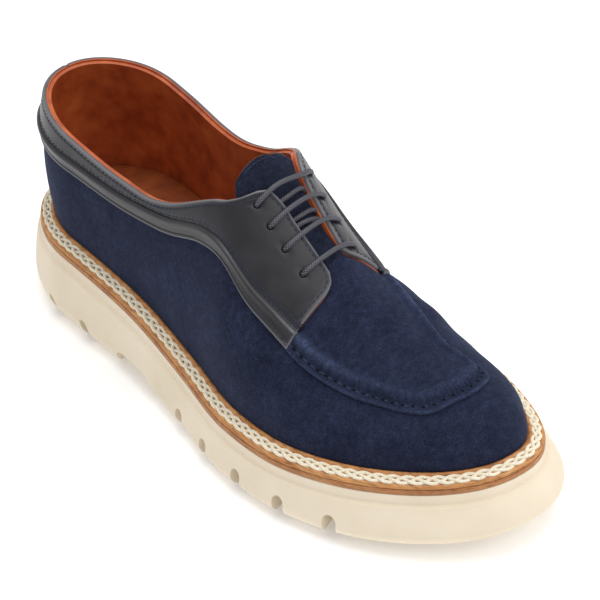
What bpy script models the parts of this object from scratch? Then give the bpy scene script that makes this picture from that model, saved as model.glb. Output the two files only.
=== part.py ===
"""Apron-toe derby shoe for the right foot, standing empty on its sole.

The shoe lies along X with its toe at +X. +Y is its inner (medial) side and +Z is up. The sizes
below are in millimetres, and every mesh is written in metres. The origin is on the floor, below
the middle of the sole's box.

The upper follows one function, last_point. It takes a side, a station along the feather edge and
a share of the way from the feather edge, where upper and welt meet, up to the spine of the shoe.
The apron, facings, strap and tongue are cut between two offsets of that same function.
"""
import math
from collections import namedtuple

import bpy
import bmesh
import numpy as np
from mathutils import Matrix, Vector

MM = 0.001
LATERAL = -1
MEDIAL = 1

# Last: the plan of the feather edge
LAST_LENGTH = 286.0
HEEL_CAP = 46.0
TOE_CAP = 88.0
HEEL_FULLNESS = 2.1
TOE_FULLNESS = 2.2
TOE_SHIFT = 8.5
TOE_SPINE = 0.40
HEEL_SPINE = 0.15
HEEL_X = -LAST_LENGTH / 2
TOE_X = LAST_LENGTH / 2
PLAN_SHIFT_X = -1.55
PLAN_SHIFT_Y = 2.75

Width = namedtuple("Width", "x lateral medial")
WIDTHS = (
    Width(-143, 31.0, 31.0),
    Width(-114, 33.0, 32.0),
    Width(-86, 34.0, 31.0),
    Width(-43, 36.0, 27.0),
    Width(0, 43.0, 32.0),
    Width(34, 50.3, 41.5),
    Width(63, 50.8, 45.5),
    Width(92, 46.5, 45.5),
    Width(120, 41.0, 43.5),
    Width(143, 37.0, 42.0),
)

# Last: height of the spine above the feather edge, and the shape of each half section: how far
# its belly swells, how full its crown is on either side and how steeply it rises
Ridge = namedtuple("Ridge", "x height")
RIDGES = (
    Ridge(-143, 112.0),
    Ridge(-90, 110.0),
    Ridge(-30, 107.0),
    Ridge(0, 99.6),
    Ridge(15, 88.7),
    Ridge(30, 73.4),
    Ridge(45, 59.0),
    Ridge(60, 47.0),
    Ridge(75, 36.4),
    Ridge(90, 31.5),
    Ridge(105, 29.6),
    Ridge(120, 29.0),
    Ridge(143, 28.0),
)
Section = namedtuple("Section", "x belly lateral medial lateral_lift medial_lift")
SECTIONS = (
    Section(-143, 0.34, 0.32, 0.32, 0.50, 0.50),
    Section(-112, 0.22, 0.46, 0.46, 0.52, 0.52),
    Section(-60, 0.06, 0.64, 0.64, 0.55, 0.55),
    Section(0, 0.02, 0.43, 0.53, 0.55, 0.57),
    Section(22, 0.02, 0.64, 0.26, 0.585, 0.47),
    Section(45, 0.02, 0.60, 0.17, 0.577, 0.465),
    Section(90, 0.02, 0.50, 0.32, 0.58, 0.45),
    Section(115, 0.02, 0.56, 0.42, 0.60, 0.52),
    Section(143, 0.03, 0.62, 0.62, 0.61, 0.61),
)

# Heights of the sole
FEATHER_HEIGHT = 30.6
FEATHER_HEEL_RISE = 12.0
FEATHER_RISE_START = 30.0
FEATHER_RISE_RUN = 140.0
TOE_SPRING = 7.0
TOE_SPRING_RUN = 94.0
FLOOR_SPRING = 5.8
LEATHER_HEIGHT = 6.7
LEATHER_MARGIN = 7.4
GAP = 0.3

# Upper and what lies on it
UPPER_WALL = 1.8
OVERLAY_GAP = 0.6
UPPER_LEVELS = 7

# Edges on the upper, as the share of the way from the feather edge to the spine
Level = namedtuple("Level", "x lateral medial")
TOPLINE = (
    Level(-143, 0.390, 0.390),
    Level(-120, 0.375, 0.375),
    Level(-90, 0.350, 0.350),
    Level(-60, 0.345, 0.345),
    Level(-35, 0.375, 0.375),
    Level(-15, 0.465, 0.465),
    Level(0, 0.575, 0.610),
    Level(7.5, 0.650, 0.725),
    Level(12, 0.728, 0.775),
    Level(16.5, 0.858, 0.810),
    Level(22, 0.906, 0.828),
    Level(30, 0.920, 0.832),
    Level(40, 0.932, 0.838),
    Level(47, 0.937, 0.840),
)
STRAP_TOP = (
    Level(-143, 0.300, 0.300),
    Level(-90, 0.285, 0.285),
    Level(-50, 0.305, 0.305),
    Level(-20, 0.375, 0.375),
    Level(0, 0.458, 0.455),
    Level(20, 0.542, 0.500),
    Level(36, 0.570, 0.512),
    Level(46, 0.594, 0.530),
    Level(56, 0.608, 0.545),
)
STRAP_WIDTH = (
    Level(-143, 0.045, 0.045),
    Level(-60, 0.048, 0.048),
    Level(0, 0.056, 0.056),
    Level(20, 0.062, 0.062),
    Level(36, 0.084, 0.082),
    Level(56, 0.103, 0.100),
)
APRON_EDGE = (
    Level(40, 0.495, 0.420),
    Level(53, 0.500, 0.437),
    Level(64, 0.498, 0.462),
    Level(79, 0.506, 0.488),
    Level(93, 0.506, 0.528),
    Level(108, 0.510, 0.562),
    Level(120, 0.497, 0.568),
    Level(129, 0.503, 0.530),
    Level(135, 0.545, 0.540),
    Level(139, 0.580, 0.572),
    Level(143, 0.602, 0.602),
)


def clear_scene():
    """Remove every object, so that the script starts from an empty scene."""
    for thing in list(bpy.data.objects):
        bpy.data.objects.remove(thing, do_unlink=True)


def read_table(table, column, x):
    """Read a table's column at x along a smooth curve through its rows."""
    xs = np.array([row.x for row in table], float)
    ys = np.array([getattr(row, column) for row in table], float)
    x = np.clip(x, xs[0], xs[-1])
    slopes = np.gradient(ys, xs)
    i = int(np.clip(np.searchsorted(xs, x, side="right") - 1, 0, len(xs) - 2))
    run = xs[i + 1] - xs[i]
    u = (x - xs[i]) / run
    start = (2 * u**3 - 3 * u**2 + 1) * ys[i] + (u**3 - 2 * u**2 + u) * run * slopes[i]
    end = (3 * u**2 - 2 * u**3) * ys[i + 1] + (u**3 - u**2) * run * slopes[i + 1]
    return float(start + end)


def side_column(side):
    """Name of the table column that holds a side's values."""
    return "lateral" if side == LATERAL else "medial"


def ease(u):
    """Smooth step from 0 to 1."""
    u = min(max(u, 0.0), 1.0)
    return u * u * (3 - 2 * u)


# ---------------------------------------------------------------- the last

HEEL_ARC = HEEL_CAP * 1.35
TOE_ARC = TOE_CAP * 1.3
STRAIGHT = LAST_LENGTH - HEEL_CAP - TOE_CAP
GIRTH_RUN = HEEL_ARC + STRAIGHT + TOE_ARC


def station_x(t):
    """X of the feather edge at station t, from 0 at the heel to 1 at the toe."""
    run = t * GIRTH_RUN
    if run < HEEL_ARC:
        return HEEL_X + HEEL_CAP * (1 - math.cos(run / HEEL_ARC * math.pi / 2))
    if run > HEEL_ARC + STRAIGHT:
        turn = min((run - HEEL_ARC - STRAIGHT) / TOE_ARC, 1.0)
        return TOE_X - TOE_CAP + TOE_CAP * math.sin(turn * math.pi / 2)
    return HEEL_X + HEEL_CAP + run - HEEL_ARC


def station_at(x):
    """Station whose feather edge is at x."""
    if x <= HEEL_X:
        return 0.0
    if x >= TOE_X:
        return 1.0
    low, high = 0.0, 1.0
    for _ in range(40):
        middle = (low + high) / 2
        if station_x(middle) < x:
            low = middle
        else:
            high = middle
    return (low + high) / 2


def centre_y(x):
    """Middle line of the last, which swings inwards at the toe."""
    return TOE_SHIFT * ease((x - TOE_X + TOE_CAP) / TOE_CAP)


def feather_point(side, t):
    """Plan point of the feather edge."""
    x = station_x(t)
    width = read_table(WIDTHS, side_column(side), x)
    cap = 1.0
    if x < HEEL_X + HEEL_CAP:
        share = min((HEEL_X + HEEL_CAP - x) / HEEL_CAP, 1.0)
        cap = max(1 - share**HEEL_FULLNESS, 0.0) ** (1 / HEEL_FULLNESS)
    if x > TOE_X - TOE_CAP:
        share = min((x - TOE_X + TOE_CAP) / TOE_CAP, 1.0)
        cap = max(1 - share**TOE_FULLNESS, 0.0) ** (1 / TOE_FULLNESS)
    centre = centre_y(x)
    return x, centre + side * (width - side * centre) * cap


def spine_x(x):
    """X of the spine point that a section line from feather edge x runs to."""
    if x > TOE_X - TOE_CAP:
        return TOE_X - TOE_CAP + (x - TOE_X + TOE_CAP) * TOE_SPINE
    if x < HEEL_X + HEEL_CAP:
        return HEEL_X + HEEL_CAP + (x - HEEL_X - HEEL_CAP) * HEEL_SPINE
    return x


def feather_z(x):
    """Height of the feather edge, with the toe's spring and the rise to the heel."""
    toe = min(max((x - TOE_X + TOE_SPRING_RUN) / TOE_SPRING_RUN, 0.0), 1.18)
    heel = ease((FEATHER_RISE_START - x) / FEATHER_RISE_RUN)
    return FEATHER_HEIGHT + TOE_SPRING * toe * toe + FEATHER_HEEL_RISE * heel


def last_point(side, t, s):
    """Point of the last at share s of the way up from the feather edge to the spine."""
    edge_x, edge_y = feather_point(side, t)
    top_x = spine_x(edge_x)
    top_y = centre_y(top_x)
    belly = read_table(SECTIONS, "belly", edge_x)
    crown = read_table(SECTIONS, side_column(side), edge_x)
    lift = read_table(SECTIONS, side_column(side) + "_lift", edge_x)
    q = 1 - s
    out = q**3 + 3 * q * q * s * (1 + belly) + 3 * q * s * s * crown
    up = 3 * q * q * s * lift + 3 * q * s * s + s**3
    x = top_x + (edge_x - top_x) * out
    y = top_y + (edge_y - top_y) * out
    return Vector((x, y, feather_z(x) + read_table(RIDGES, "height", x) * up))


def side_normal(side, t, s):
    """Outward normal of one side's surface."""
    step = 0.004
    t0, t1 = max(t - step, 0.0), min(t + step, 1.0)
    s0, s1 = max(s - step, 0.0), min(s + step, 1.0)
    along = last_point(side, t1, s) - last_point(side, t0, s)
    up = last_point(side, t, s1) - last_point(side, t, s0)
    normal = along.cross(up) * -side
    return normal.normalized()


def spine_normal(t):
    """Upward normal on the spine, square to its profile."""
    x = spine_x(station_x(t))
    step = 0.5
    rise = 0.0
    for way in (-1, 1):
        place = x + way * step
        rise += way * (feather_z(place) + read_table(RIDGES, "height", place))
    return Vector((-rise / (2 * step), 0.0, 1.0)).normalized()


def last_normal(side, t, s):
    """Outward normal, the same from both sides where they meet."""
    if s >= 1.0:
        return spine_normal(t)
    normal = side_normal(side, t, s)
    if t <= 0.0 or t >= 1.0:
        normal = (normal + side_normal(-side, t, s)).normalized()
    return normal


def offset_point(side, t, s, offset):
    """Point of the last moved outwards along its normal."""
    return last_point(side, t, s) + last_normal(side, t, s) * offset


# ---------------------------------------------------------------- mesh helpers

def material(name, colour, roughness):
    """Principled material with a linear colour."""
    made = bpy.data.materials.get(name)
    if made is None:
        made = bpy.data.materials.new(name)
        made.use_nodes = True
        shader = made.node_tree.nodes["Principled BSDF"]
        shader.inputs["Base Color"].default_value = (*colour, 1.0)
        shader.inputs["Roughness"].default_value = roughness
    return made


SUEDE = ("navy_suede", (0.018, 0.024, 0.065), 0.9)
SMOOTH = ("smooth_leather", (0.05, 0.05, 0.058), 0.45)
TAN = ("tan_leather", (0.55, 0.29, 0.10), 0.55)
LINING = ("lining_leather", (0.52, 0.16, 0.03), 0.6)
CORD = ("braid_cord", (0.82, 0.74, 0.60), 0.75)
LACE = ("waxed_lace", (0.06, 0.06, 0.08), 0.5)
RUBBER = ("cream_rubber", (0.80, 0.68, 0.50), 0.6)


def add_object(name, points, faces, finish, sharp_angle=50.0):
    """Add a closed mesh from points in millimetres, with its faces turned outwards."""
    mesh = bpy.data.meshes.new(name)
    shift = Vector((PLAN_SHIFT_X, PLAN_SHIFT_Y, 0.0))
    mesh.from_pydata([(Vector(point) + shift) * MM for point in points], [], faces)
    work = bmesh.new()
    work.from_mesh(mesh)
    bmesh.ops.remove_doubles(work, verts=work.verts, dist=0.00001)
    bmesh.ops.recalc_face_normals(work, faces=work.faces)
    work.to_mesh(mesh)
    work.free()
    thing = bpy.data.objects.new(name, mesh)
    bpy.context.scene.collection.objects.link(thing)
    thing.data.materials.append(material(*finish))
    mesh.shade_smooth()
    mesh.set_sharp_from_angle(angle=math.radians(sharp_angle))
    return thing


def cut_with(thing, cutters):
    """Cut the joined cutters out of an object."""
    for cutter in cutters:
        cutter.hide_render = True
        cutter.display_type = "WIRE"
        boolean = thing.modifiers.new("cut_" + cutter.name, "BOOLEAN")
        boolean.operation = "DIFFERENCE"
        boolean.solver = "EXACT"
        boolean.object = cutter


class Skin:
    """A patch of the upper's surface, as cells between surface coordinates."""

    def __init__(self):
        self.keys = []
        self.index = {}
        self.cells = []

    def corner(self, side, t, s):
        """Number of a surface point, shared where the two sides meet."""
        shared = s >= 1.0 or t <= 0.0 or t >= 1.0
        key = (0 if shared else side, round(t, 6), round(s, 6))
        if key not in self.index:
            self.index[key] = len(self.keys)
            self.keys.append((side, t, s))
        return self.index[key]

    def add_side(self, side, stations, levels_at):
        """Add the cells between stations, each with its own list of levels."""
        rows = [[self.corner(side, t, s) for s in levels_at(t)] for t in stations]
        for row, following in zip(rows[:-1], rows[1:]):
            for j in range(len(row) - 1):
                cell = (row[j], following[j], following[j + 1], row[j + 1])
                loop = tuple(dict.fromkeys(cell))
                if len(loop) > 2:
                    self.cells.append(loop)

    def border(self):
        """Edges that only one cell uses."""
        seen = {}
        for cell in self.cells:
            for a, b in zip(cell, cell[1:] + cell[:1]):
                seen.setdefault(frozenset((a, b)), []).append((a, b))
        return [uses[0] for uses in seen.values() if len(uses) == 1]

    def solid(self, name, finish, bottom, top, sharp_angle=50.0):
        """Closed solid between two offsets, each a function of side, t and s."""
        count = len(self.keys)
        points = [offset_point(side, t, s, top(side, t, s)) for side, t, s in self.keys]
        points += [offset_point(side, t, s, bottom(side, t, s)) for side, t, s in self.keys]
        faces = list(self.cells)
        faces += [tuple(count + i for i in reversed(cell)) for cell in self.cells]
        faces += [(b, a, count + a, count + b) for a, b in self.border()]
        return add_object(name, points, faces, finish, sharp_angle)


def constant(value):
    """Offset that is the same all over a patch."""
    return lambda side, t, s: value


def spread(low, high, count):
    """Evenly spaced values, both ends included."""
    return [low + (high - low) * i / count for i in range(count + 1)]


def stations_between(x_low, x_high, count):
    """Stations from one x to another, closer together round the heel and toe."""
    return spread(station_at(x_low), station_at(x_high), count)


# ---------------------------------------------------------------- sole

OUTLINE_STATIONS = 29


def plan_outline(offset, flare=0.0):
    """Loop of plan points round the last, moved outwards by an offset and further at the toe."""
    stations = spread(0.0, 1.0, OUTLINE_STATIONS)
    loop = [feather_point(LATERAL, t) for t in stations]
    loop += [feather_point(MEDIAL, t) for t in reversed(stations[1:-1])]
    count = len(loop)
    moved = []
    for i, (x, y) in enumerate(loop):
        before = loop[i - 1]
        after = loop[(i + 1) % count]
        along = Vector((after[0] - before[0], after[1] - before[1])).normalized()
        reach = offset + flare * ease((x - FLARE_START) / FLARE_RUN)
        moved.append((x + along.y * reach, y - along.x * reach))
    return moved


def cap_faces(start, flip):
    """Ladder of faces that closes a ring of the plan outline."""
    count = 2 * OUTLINE_STATIONS
    faces = []
    for i in range(OUTLINE_STATIONS):
        ladder = (i, i + 1, (count - i - 1) % count, (count - i) % count)
        face = tuple(dict.fromkeys(start + k for k in ladder))
        faces.append(tuple(reversed(face)) if flip else face)
    return faces


def stack_rings(name, rings, finish, sharp_angle=35.0):
    """Closed solid through a stack of plan rings of offset, height and flare, bottom to top."""
    count = 2 * OUTLINE_STATIONS
    points = []
    for offset, height, *flare in rings:
        points += [(x, y, height(x)) for x, y in plan_outline(offset, *flare)]
    faces = cap_faces(0, True) + cap_faces(count * (len(rings) - 1), False)
    for level in range(len(rings) - 1):
        low = level * count
        for i in range(count):
            j = (i + 1) % count
            faces.append((low + i, low + j, low + count + j, low + count + i))
    return add_object(name, points, faces, finish, sharp_angle)


def above_feather(rise):
    """Height function that follows the feather edge."""
    return lambda x: feather_z(x) + rise


def floor_z(x):
    """Height of the tread: on the floor, and rising under the toe."""
    spring = min(max((x - TOE_X + TOE_SPRING_RUN) / TOE_SPRING_RUN, 0.0), 1.18)
    return FLOOR_SPRING * spring * spring


BAND_DEPTH = 3.6
STEP_DEPTH = 5.8
FLARE_START = 58.0
FLARE_RUN = 60.0

# Rings of the rubber sole from tread to top: how far each stands out past the leather, how much
# further it flares round the toe, and its height as a drop from the top or a share from the floor
SoleRing = namedtuple("SoleRing", "margin flare drop share")
SOLE_RINGS = (
    SoleRing(0.2, 1.4, None, 0.0),
    SoleRing(2.0, 1.8, None, 0.08),
    SoleRing(3.9, 2.7, None, 0.21),
    SoleRing(5.0, 3.1, None, 0.36),
    SoleRing(4.6, 2.5, None, 0.56),
    SoleRing(3.4, 1.4, None, 0.82),
    SoleRing(2.2, 0.3, STEP_DEPTH, None),
    SoleRing(0.3, 0.0, BAND_DEPTH, None),
    SoleRing(0.1, 0.0, 0.0, None),
)


def sole_height(ring):
    """Height function of one ring of the rubber sole."""
    def top(x):
        return feather_z(x) - LEATHER_HEIGHT

    def height(x):
        if ring.drop is not None:
            return top(x) - ring.drop
        return floor_z(x) + ring.share * (top(x) - STEP_DEPTH - floor_z(x))
    return height


Notch = namedtuple("Notch", "x side")
NOTCHES = (
    Notch(93.5, LATERAL),
    Notch(71.0, LATERAL),
    Notch(48.0, LATERAL),
    Notch(25.0, LATERAL),
    Notch(2.0, LATERAL),
    Notch(124.7, MEDIAL),
    Notch(97.2, MEDIAL),
    Notch(70.0, MEDIAL),
    Notch(43.0, MEDIAL),
    Notch(16.0, MEDIAL),
    Notch(-10.0, MEDIAL),
    Notch(-82.0, LATERAL),
    Notch(-107.0, LATERAL),
    Notch(-82.0, MEDIAL),
    Notch(-107.0, MEDIAL),
)
NOTCH_WIDTH = 6.0
NOTCH_HEIGHT = 12.4
NOTCH_FLARE = 2.1
NOTCH_REACHES = (-15.0, 12.5, 24.0)


def flared_slot(name, profile, origin, along):
    """Cutter with an upright profile, run along a level direction and flared at its outer end."""
    across = Vector((-along.y, along.x, 0.0))
    count = len(profile)
    points, faces = [], []
    for reach, flare in zip(NOTCH_REACHES, (1.0, 1.0, NOTCH_FLARE)):
        points += [origin + along * reach + across * w * flare + Vector((0, 0, h))
                   for w, h in profile]
    for low in (0, count):
        faces += [(low + i, low + (i + 1) % count, low + count + (i + 1) % count, low + count + i)
                  for i in range(count)]
    faces += [tuple(range(count)), tuple(range(2 * count, 3 * count))]
    return add_object(name, points, faces, RUBBER)


def notch_profile():
    """Slot open below, with a round top and flared lips."""
    half = NOTCH_WIDTH / 2
    arc_base = NOTCH_HEIGHT - half
    profile = [(-half - 2.0, -2.0), (-half, 2.4)]
    turns = 4
    for i in range(turns + 1):
        angle = math.pi - math.pi * i / turns
        profile.append((half * math.cos(angle), arc_base + half * math.sin(angle)))
    profile += [(half, 2.4), (half + 2.0, -2.0)]
    return profile


def notch_cutters():
    """One cutter for each notch between two lugs, square to the sole's edge."""
    cutters = []
    for number, notch in enumerate(NOTCHES, 1):
        t = station_at(notch.x)
        x0, y0 = feather_point(notch.side, t - 0.01)
        x1, y1 = feather_point(notch.side, t + 0.01)
        outward = Vector((y1 - y0, x0 - x1, 0.0)).normalized() * -notch.side
        x, y = feather_point(notch.side, t)
        origin = Vector((x, y, floor_z(x + outward.x * LEATHER_MARGIN)))
        cutters.append(flared_slot(f"notch_{number}", notch_profile(), origin, outward))
    return cutters


ARCH_REAR = -60.0
ARCH_FRONT = -26.0
ARCH_HEIGHT = 11.0


def arch_cutter():
    """Cutter for the arch between heel block and forefoot."""
    slope, corner = 7.0, 3.0
    profile = [
        (ARCH_REAR - 1.0, -2.0),
        (ARCH_REAR + slope - corner, ARCH_HEIGHT - corner),
        (ARCH_REAR + slope + corner, ARCH_HEIGHT),
        (ARCH_FRONT - slope - corner, ARCH_HEIGHT),
        (ARCH_FRONT - slope + corner, ARCH_HEIGHT - corner),
        (ARCH_FRONT + 1.0, -2.0),
    ]
    points = [(x, y, z) for y in (-80.0, 80.0) for x, z in profile]
    count = len(profile)
    faces = [tuple(range(count)), tuple(reversed(range(count, 2 * count)))]
    faces += [(i, (i + 1) % count, count + (i + 1) % count, count + i) for i in range(count)]
    return add_object("arch", points, faces, RUBBER)


def build_sole():
    """Rubber sole, leather midsole, welt, braid and insole."""
    rings = [(LEATHER_MARGIN + ring.margin, sole_height(ring), ring.flare) for ring in SOLE_RINGS]
    outsole = stack_rings("outsole", rings, RUBBER)
    cut_with(outsole, [arch_cutter()] + notch_cutters())
    low = -LEATHER_HEIGHT + GAP
    high = -4.0
    stack_rings("midsole", (
        (LEATHER_MARGIN - 0.4, above_feather(low)),
        (LEATHER_MARGIN, above_feather(low + 0.4)),
        (LEATHER_MARGIN, above_feather(high - 0.4)),
        (LEATHER_MARGIN - 0.5, above_feather(high)),
    ), TAN)
    stack_rings("welt", (
        (LEATHER_MARGIN - 0.3, above_feather(high + GAP)),
        (LEATHER_MARGIN - 0.5, above_feather(-2.6)),
        (LEATHER_MARGIN - 1.4, above_feather(-2.2)),
        (1.9, above_feather(-1.0)),
        (1.5, above_feather(0.1)),
        (0.8, above_feather(0.3)),
        (0.2, above_feather(-GAP)),
    ), TAN)
    insole_margin = -UPPER_WALL - 1.0
    stack_rings("insole", (
        (insole_margin, above_feather(0.0)),
        (insole_margin, above_feather(1.6)),
        (insole_margin - 0.8, above_feather(2.2)),
    ), LINING)
    build_braid()


BRAID_INNER = 2.1
BRAID_OUTER = 5.9
BRAID_HEIGHT = 1.8
BRAID_SIDES = 6


def braid_seat(offset):
    """Height of the welt's sloping top, against the feather edge, below the braid."""
    share = (offset - 1.9) / (LEATHER_MARGIN - 1.4 - 1.9)
    return -1.0 - 1.2 * share


def build_braid():
    """Braided cord that runs round on the welt."""
    middle = (BRAID_INNER + BRAID_OUTER) / 2
    half = (BRAID_OUTER - BRAID_INNER) / 2
    count = 2 * OUTLINE_STATIONS
    points = []
    for i in range(BRAID_SIDES):
        angle = 2 * math.pi * i / BRAID_SIDES
        offset = middle + half * math.cos(angle)
        rise = braid_seat(offset) + GAP + BRAID_HEIGHT / 2 * (1 + math.sin(angle))
        points += [(x, y, feather_z(x) + rise) for x, y in plan_outline(offset)]
    faces = []
    for i in range(BRAID_SIDES):
        low = i * count
        high = (i + 1) % BRAID_SIDES * count
        for j in range(count):
            k = (j + 1) % count
            faces.append((low + j, low + k, high + k, high + j))
    add_object("welt_braid", points, faces, CORD, 80.0)


# ---------------------------------------------------------------- upper

THROAT_BEND = 43.5
THROAT_END = 49.5


def topline(side, x):
    """Level of the collar and throat edge, which reaches the spine at the throat's end."""
    if x >= THROAT_END:
        return 1.0
    level = read_table(TOPLINE, side_column(side), x)
    if x > THROAT_BEND:
        turn = (x - THROAT_BEND) / (THROAT_END - THROAT_BEND)
        level += (1 - level) * (1 - math.sqrt(max(1 - turn * turn, 0.0)))
    return level


def upper_stations():
    """Stations of the upper, with extra ones where the throat rounds off."""
    extra = [station_at(x) for x in (7.5, 12.0, 16.5, THROAT_BEND, 46.5, 48.6, THROAT_END)]
    plain = [t for t in spread(0.0, 1.0, OUTLINE_STATIONS)
             if all(abs(t - other) > 0.011 for other in extra)]
    return sorted(plain + extra)


Eyelet = namedtuple("Eyelet", "lateral_x lateral medial_x medial")
EYELETS = (
    Eyelet(43.4, 0.811, 42.0, 0.660),
    Eyelet(33.8, 0.803, 32.2, 0.650),
    Eyelet(25.6, 0.796, 23.8, 0.668),
    Eyelet(18.0, 0.780, 16.2, 0.690),
)
EYELET_RADIUS = 2.0


def eyelet_places():
    """Row, side, station and level of each eyelet, from the toe upwards."""
    places = []
    for row, eyelet in enumerate(EYELETS):
        for side in (LATERAL, MEDIAL):
            x = getattr(eyelet, side_column(side) + "_x")
            places.append((row, side, station_at(x), getattr(eyelet, side_column(side))))
    return places


def eyelet_cutter(name):
    """Round cutters through facing and upper, one for each eyelet, as one object."""
    work = bmesh.new()
    shift = Vector((PLAN_SHIFT_X, PLAN_SHIFT_Y, 0.0))
    for _, side, t, s in eyelet_places():
        place = last_point(side, t, s) + shift
        turn = last_normal(side, t, s).to_track_quat("Z", "Y").to_matrix().to_4x4()
        bmesh.ops.create_cone(
            work, cap_ends=True, segments=12, radius1=EYELET_RADIUS * MM,
            radius2=EYELET_RADIUS * MM, depth=14 * MM, matrix=Matrix.Translation(place * MM) @ turn)
    mesh = bpy.data.meshes.new(name)
    work.to_mesh(mesh)
    work.free()
    cutter = bpy.data.objects.new(name, mesh)
    bpy.context.scene.collection.objects.link(cutter)
    return cutter


def build_upper():
    """Hollow suede upper, open underneath, along the throat and at the collar."""
    skin = Skin()
    stations = upper_stations()
    for side in (LATERAL, MEDIAL):
        def levels(t, side=side):
            return spread(0.0, topline(side, station_x(t)), UPPER_LEVELS)
        skin.add_side(side, stations, levels)
    upper = skin.solid("upper", SUEDE, constant(-UPPER_WALL), constant(0.0))
    cut_with(upper, [eyelet_cutter("upper_eyelets")])
    return upper


# ---------------------------------------------------------------- overlays

APRON_THICKNESS = 1.2
APRON_REARS = {LATERAL: 56.2, MEDIAL: 52.6}
APRON_TAB = (48.5, 50.0, 51.3, 52.4, 52.6, 54.2, 55.9, 56.2)
TAB_CLEARANCE = 0.022
BORDER_STEP = 0.030
BORDER_TROUGH = 0.050
BORDER_RIDGE = 0.105
BORDER_END = 0.160
RIDGE_RISE = 1.0
TROUGH_DEPTH = 0.3
FACING_THICKNESS = 1.7
SEAM_STATION = 0.0012

# Rounded front of each facing, from the end of its throat edge down to the strap
Nose = namedtuple("Nose", "lateral_x lateral medial_x medial")
FACING_NOSE = (
    Nose(48.4, 0.934, 43.2, 0.836),
    Nose(51.0, 0.918, 44.6, 0.796),
    Nose(53.0, 0.880, 45.6, 0.735),
    Nose(54.3, 0.805, 46.4, 0.662),
    Nose(55.0, 0.715, 47.3, 0.605),
    Nose(55.4, 0.632, 48.6, 0.560),
)


def facing_bottom(side, x):
    """Level of the facing's lower edge, just above the strap."""
    return read_table(STRAP_TOP, side_column(side), x) + 0.010


def nose_places(side):
    """X of each row of the facing's nose on one side."""
    return [getattr(row, side_column(side) + "_x") for row in FACING_NOSE]


def facing_rim(side, x):
    """Level of the facing's edge at the collar and throat, rounded off round its nose."""
    places = nose_places(side)
    if x <= places[0]:
        return read_table(TOPLINE, side_column(side), x)
    levels = [getattr(row, side_column(side)) for row in FACING_NOSE]
    return float(np.interp(x, places, levels))


def build_apron():
    """Apron over the vamp, with a stepped and ridged border and a tab between the facings."""
    skin = Skin()
    stations = [station_at(x) for x in APRON_TAB + (58.5, 63.0)]
    stations += stations_between(68.0, 116.0, 5)
    stations += stations_between(121.0, TOE_X, 8)
    for side in (LATERAL, MEDIAL):
        def levels(t, side=side):
            x = station_x(t)
            if x < APRON_REARS[side] - 0.1:
                return spread(facing_rim(side, x) + TAB_CLEARANCE, 1.0, 8)
            edge = read_table(APRON_EDGE, side_column(side), x)
            border = [edge + k for k in (0.0, BORDER_STEP, BORDER_TROUGH, BORDER_RIDGE)]
            return border + spread(edge + BORDER_END, 1.0, 4)
        skin.add_side(side, stations, levels)

    def top(side, t, s):
        x = station_x(t)
        rise = OVERLAY_GAP + APRON_THICKNESS
        if x < APRON_REARS[side] - 0.1:
            return rise
        inwards = s - read_table(APRON_EDGE, side_column(side), x)
        ridge = math.exp(-((inwards - BORDER_RIDGE) / 0.03) ** 2)
        trough = math.exp(-((inwards - BORDER_TROUGH) / 0.02) ** 2)
        return rise + RIDGE_RISE * ridge - TROUGH_DEPTH * trough
    return skin.solid("apron", SUEDE, constant(OVERLAY_GAP), top, 60.0)


def quarter_stations(side):
    """Stations from the heel to the front of a facing, the same for facing and strap."""
    stations = stations_between(HEEL_X, 1.0, 14)
    places = [7.5, 12.0, 16.5, 22.0, 29.0, 36.5] + nose_places(side)
    return stations + [station_at(x) for x in places]


def build_facing(name, side):
    """Smooth leather facing, with its collar band back to the heel seam."""
    skin = Skin()
    stations = [SEAM_STATION] + quarter_stations(side)[1:]

    def levels(t):
        x = station_x(t)
        return spread(facing_bottom(side, x), facing_rim(side, x), 3)
    skin.add_side(side, stations, levels)
    facing = skin.solid(
        name, SMOOTH, constant(OVERLAY_GAP), constant(OVERLAY_GAP + FACING_THICKNESS))
    cut_with(facing, [eyelet_cutter(name + "_eyelets")])
    return facing


def build_strap():
    """Rounded strap from one end of the apron's border round the heel to the other."""
    skin = Skin()
    for side in (LATERAL, MEDIAL):
        def levels(t, side=side):
            x = station_x(t)
            high = read_table(STRAP_TOP, side_column(side), x)
            width = read_table(STRAP_WIDTH, side_column(side), x)
            return [high - width * k for k in (1.0, 0.68, 0.38, 0.0)]
        skin.add_side(side, quarter_stations(side), levels)

    def top(side, t, s):
        x = station_x(t)
        high = read_table(STRAP_TOP, side_column(side), x)
        share = (high - s) / read_table(STRAP_WIDTH, side_column(side), x)
        return OVERLAY_GAP + 1.3 + 1.3 * math.exp(-((share - 0.38) / 0.28) ** 2)
    return skin.solid("strap", SMOOTH, constant(OVERLAY_GAP), top, 60.0)


TONGUE_FRONT = 48.2
TONGUE_END = 4.5
TONGUE_THICKNESS = 2.2
TONGUE_LEVEL = 0.62
TONGUE_CLEARANCE = 0.9
PAD_START = 33.0
PAD_CLEARANCE = 0.034


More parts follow.
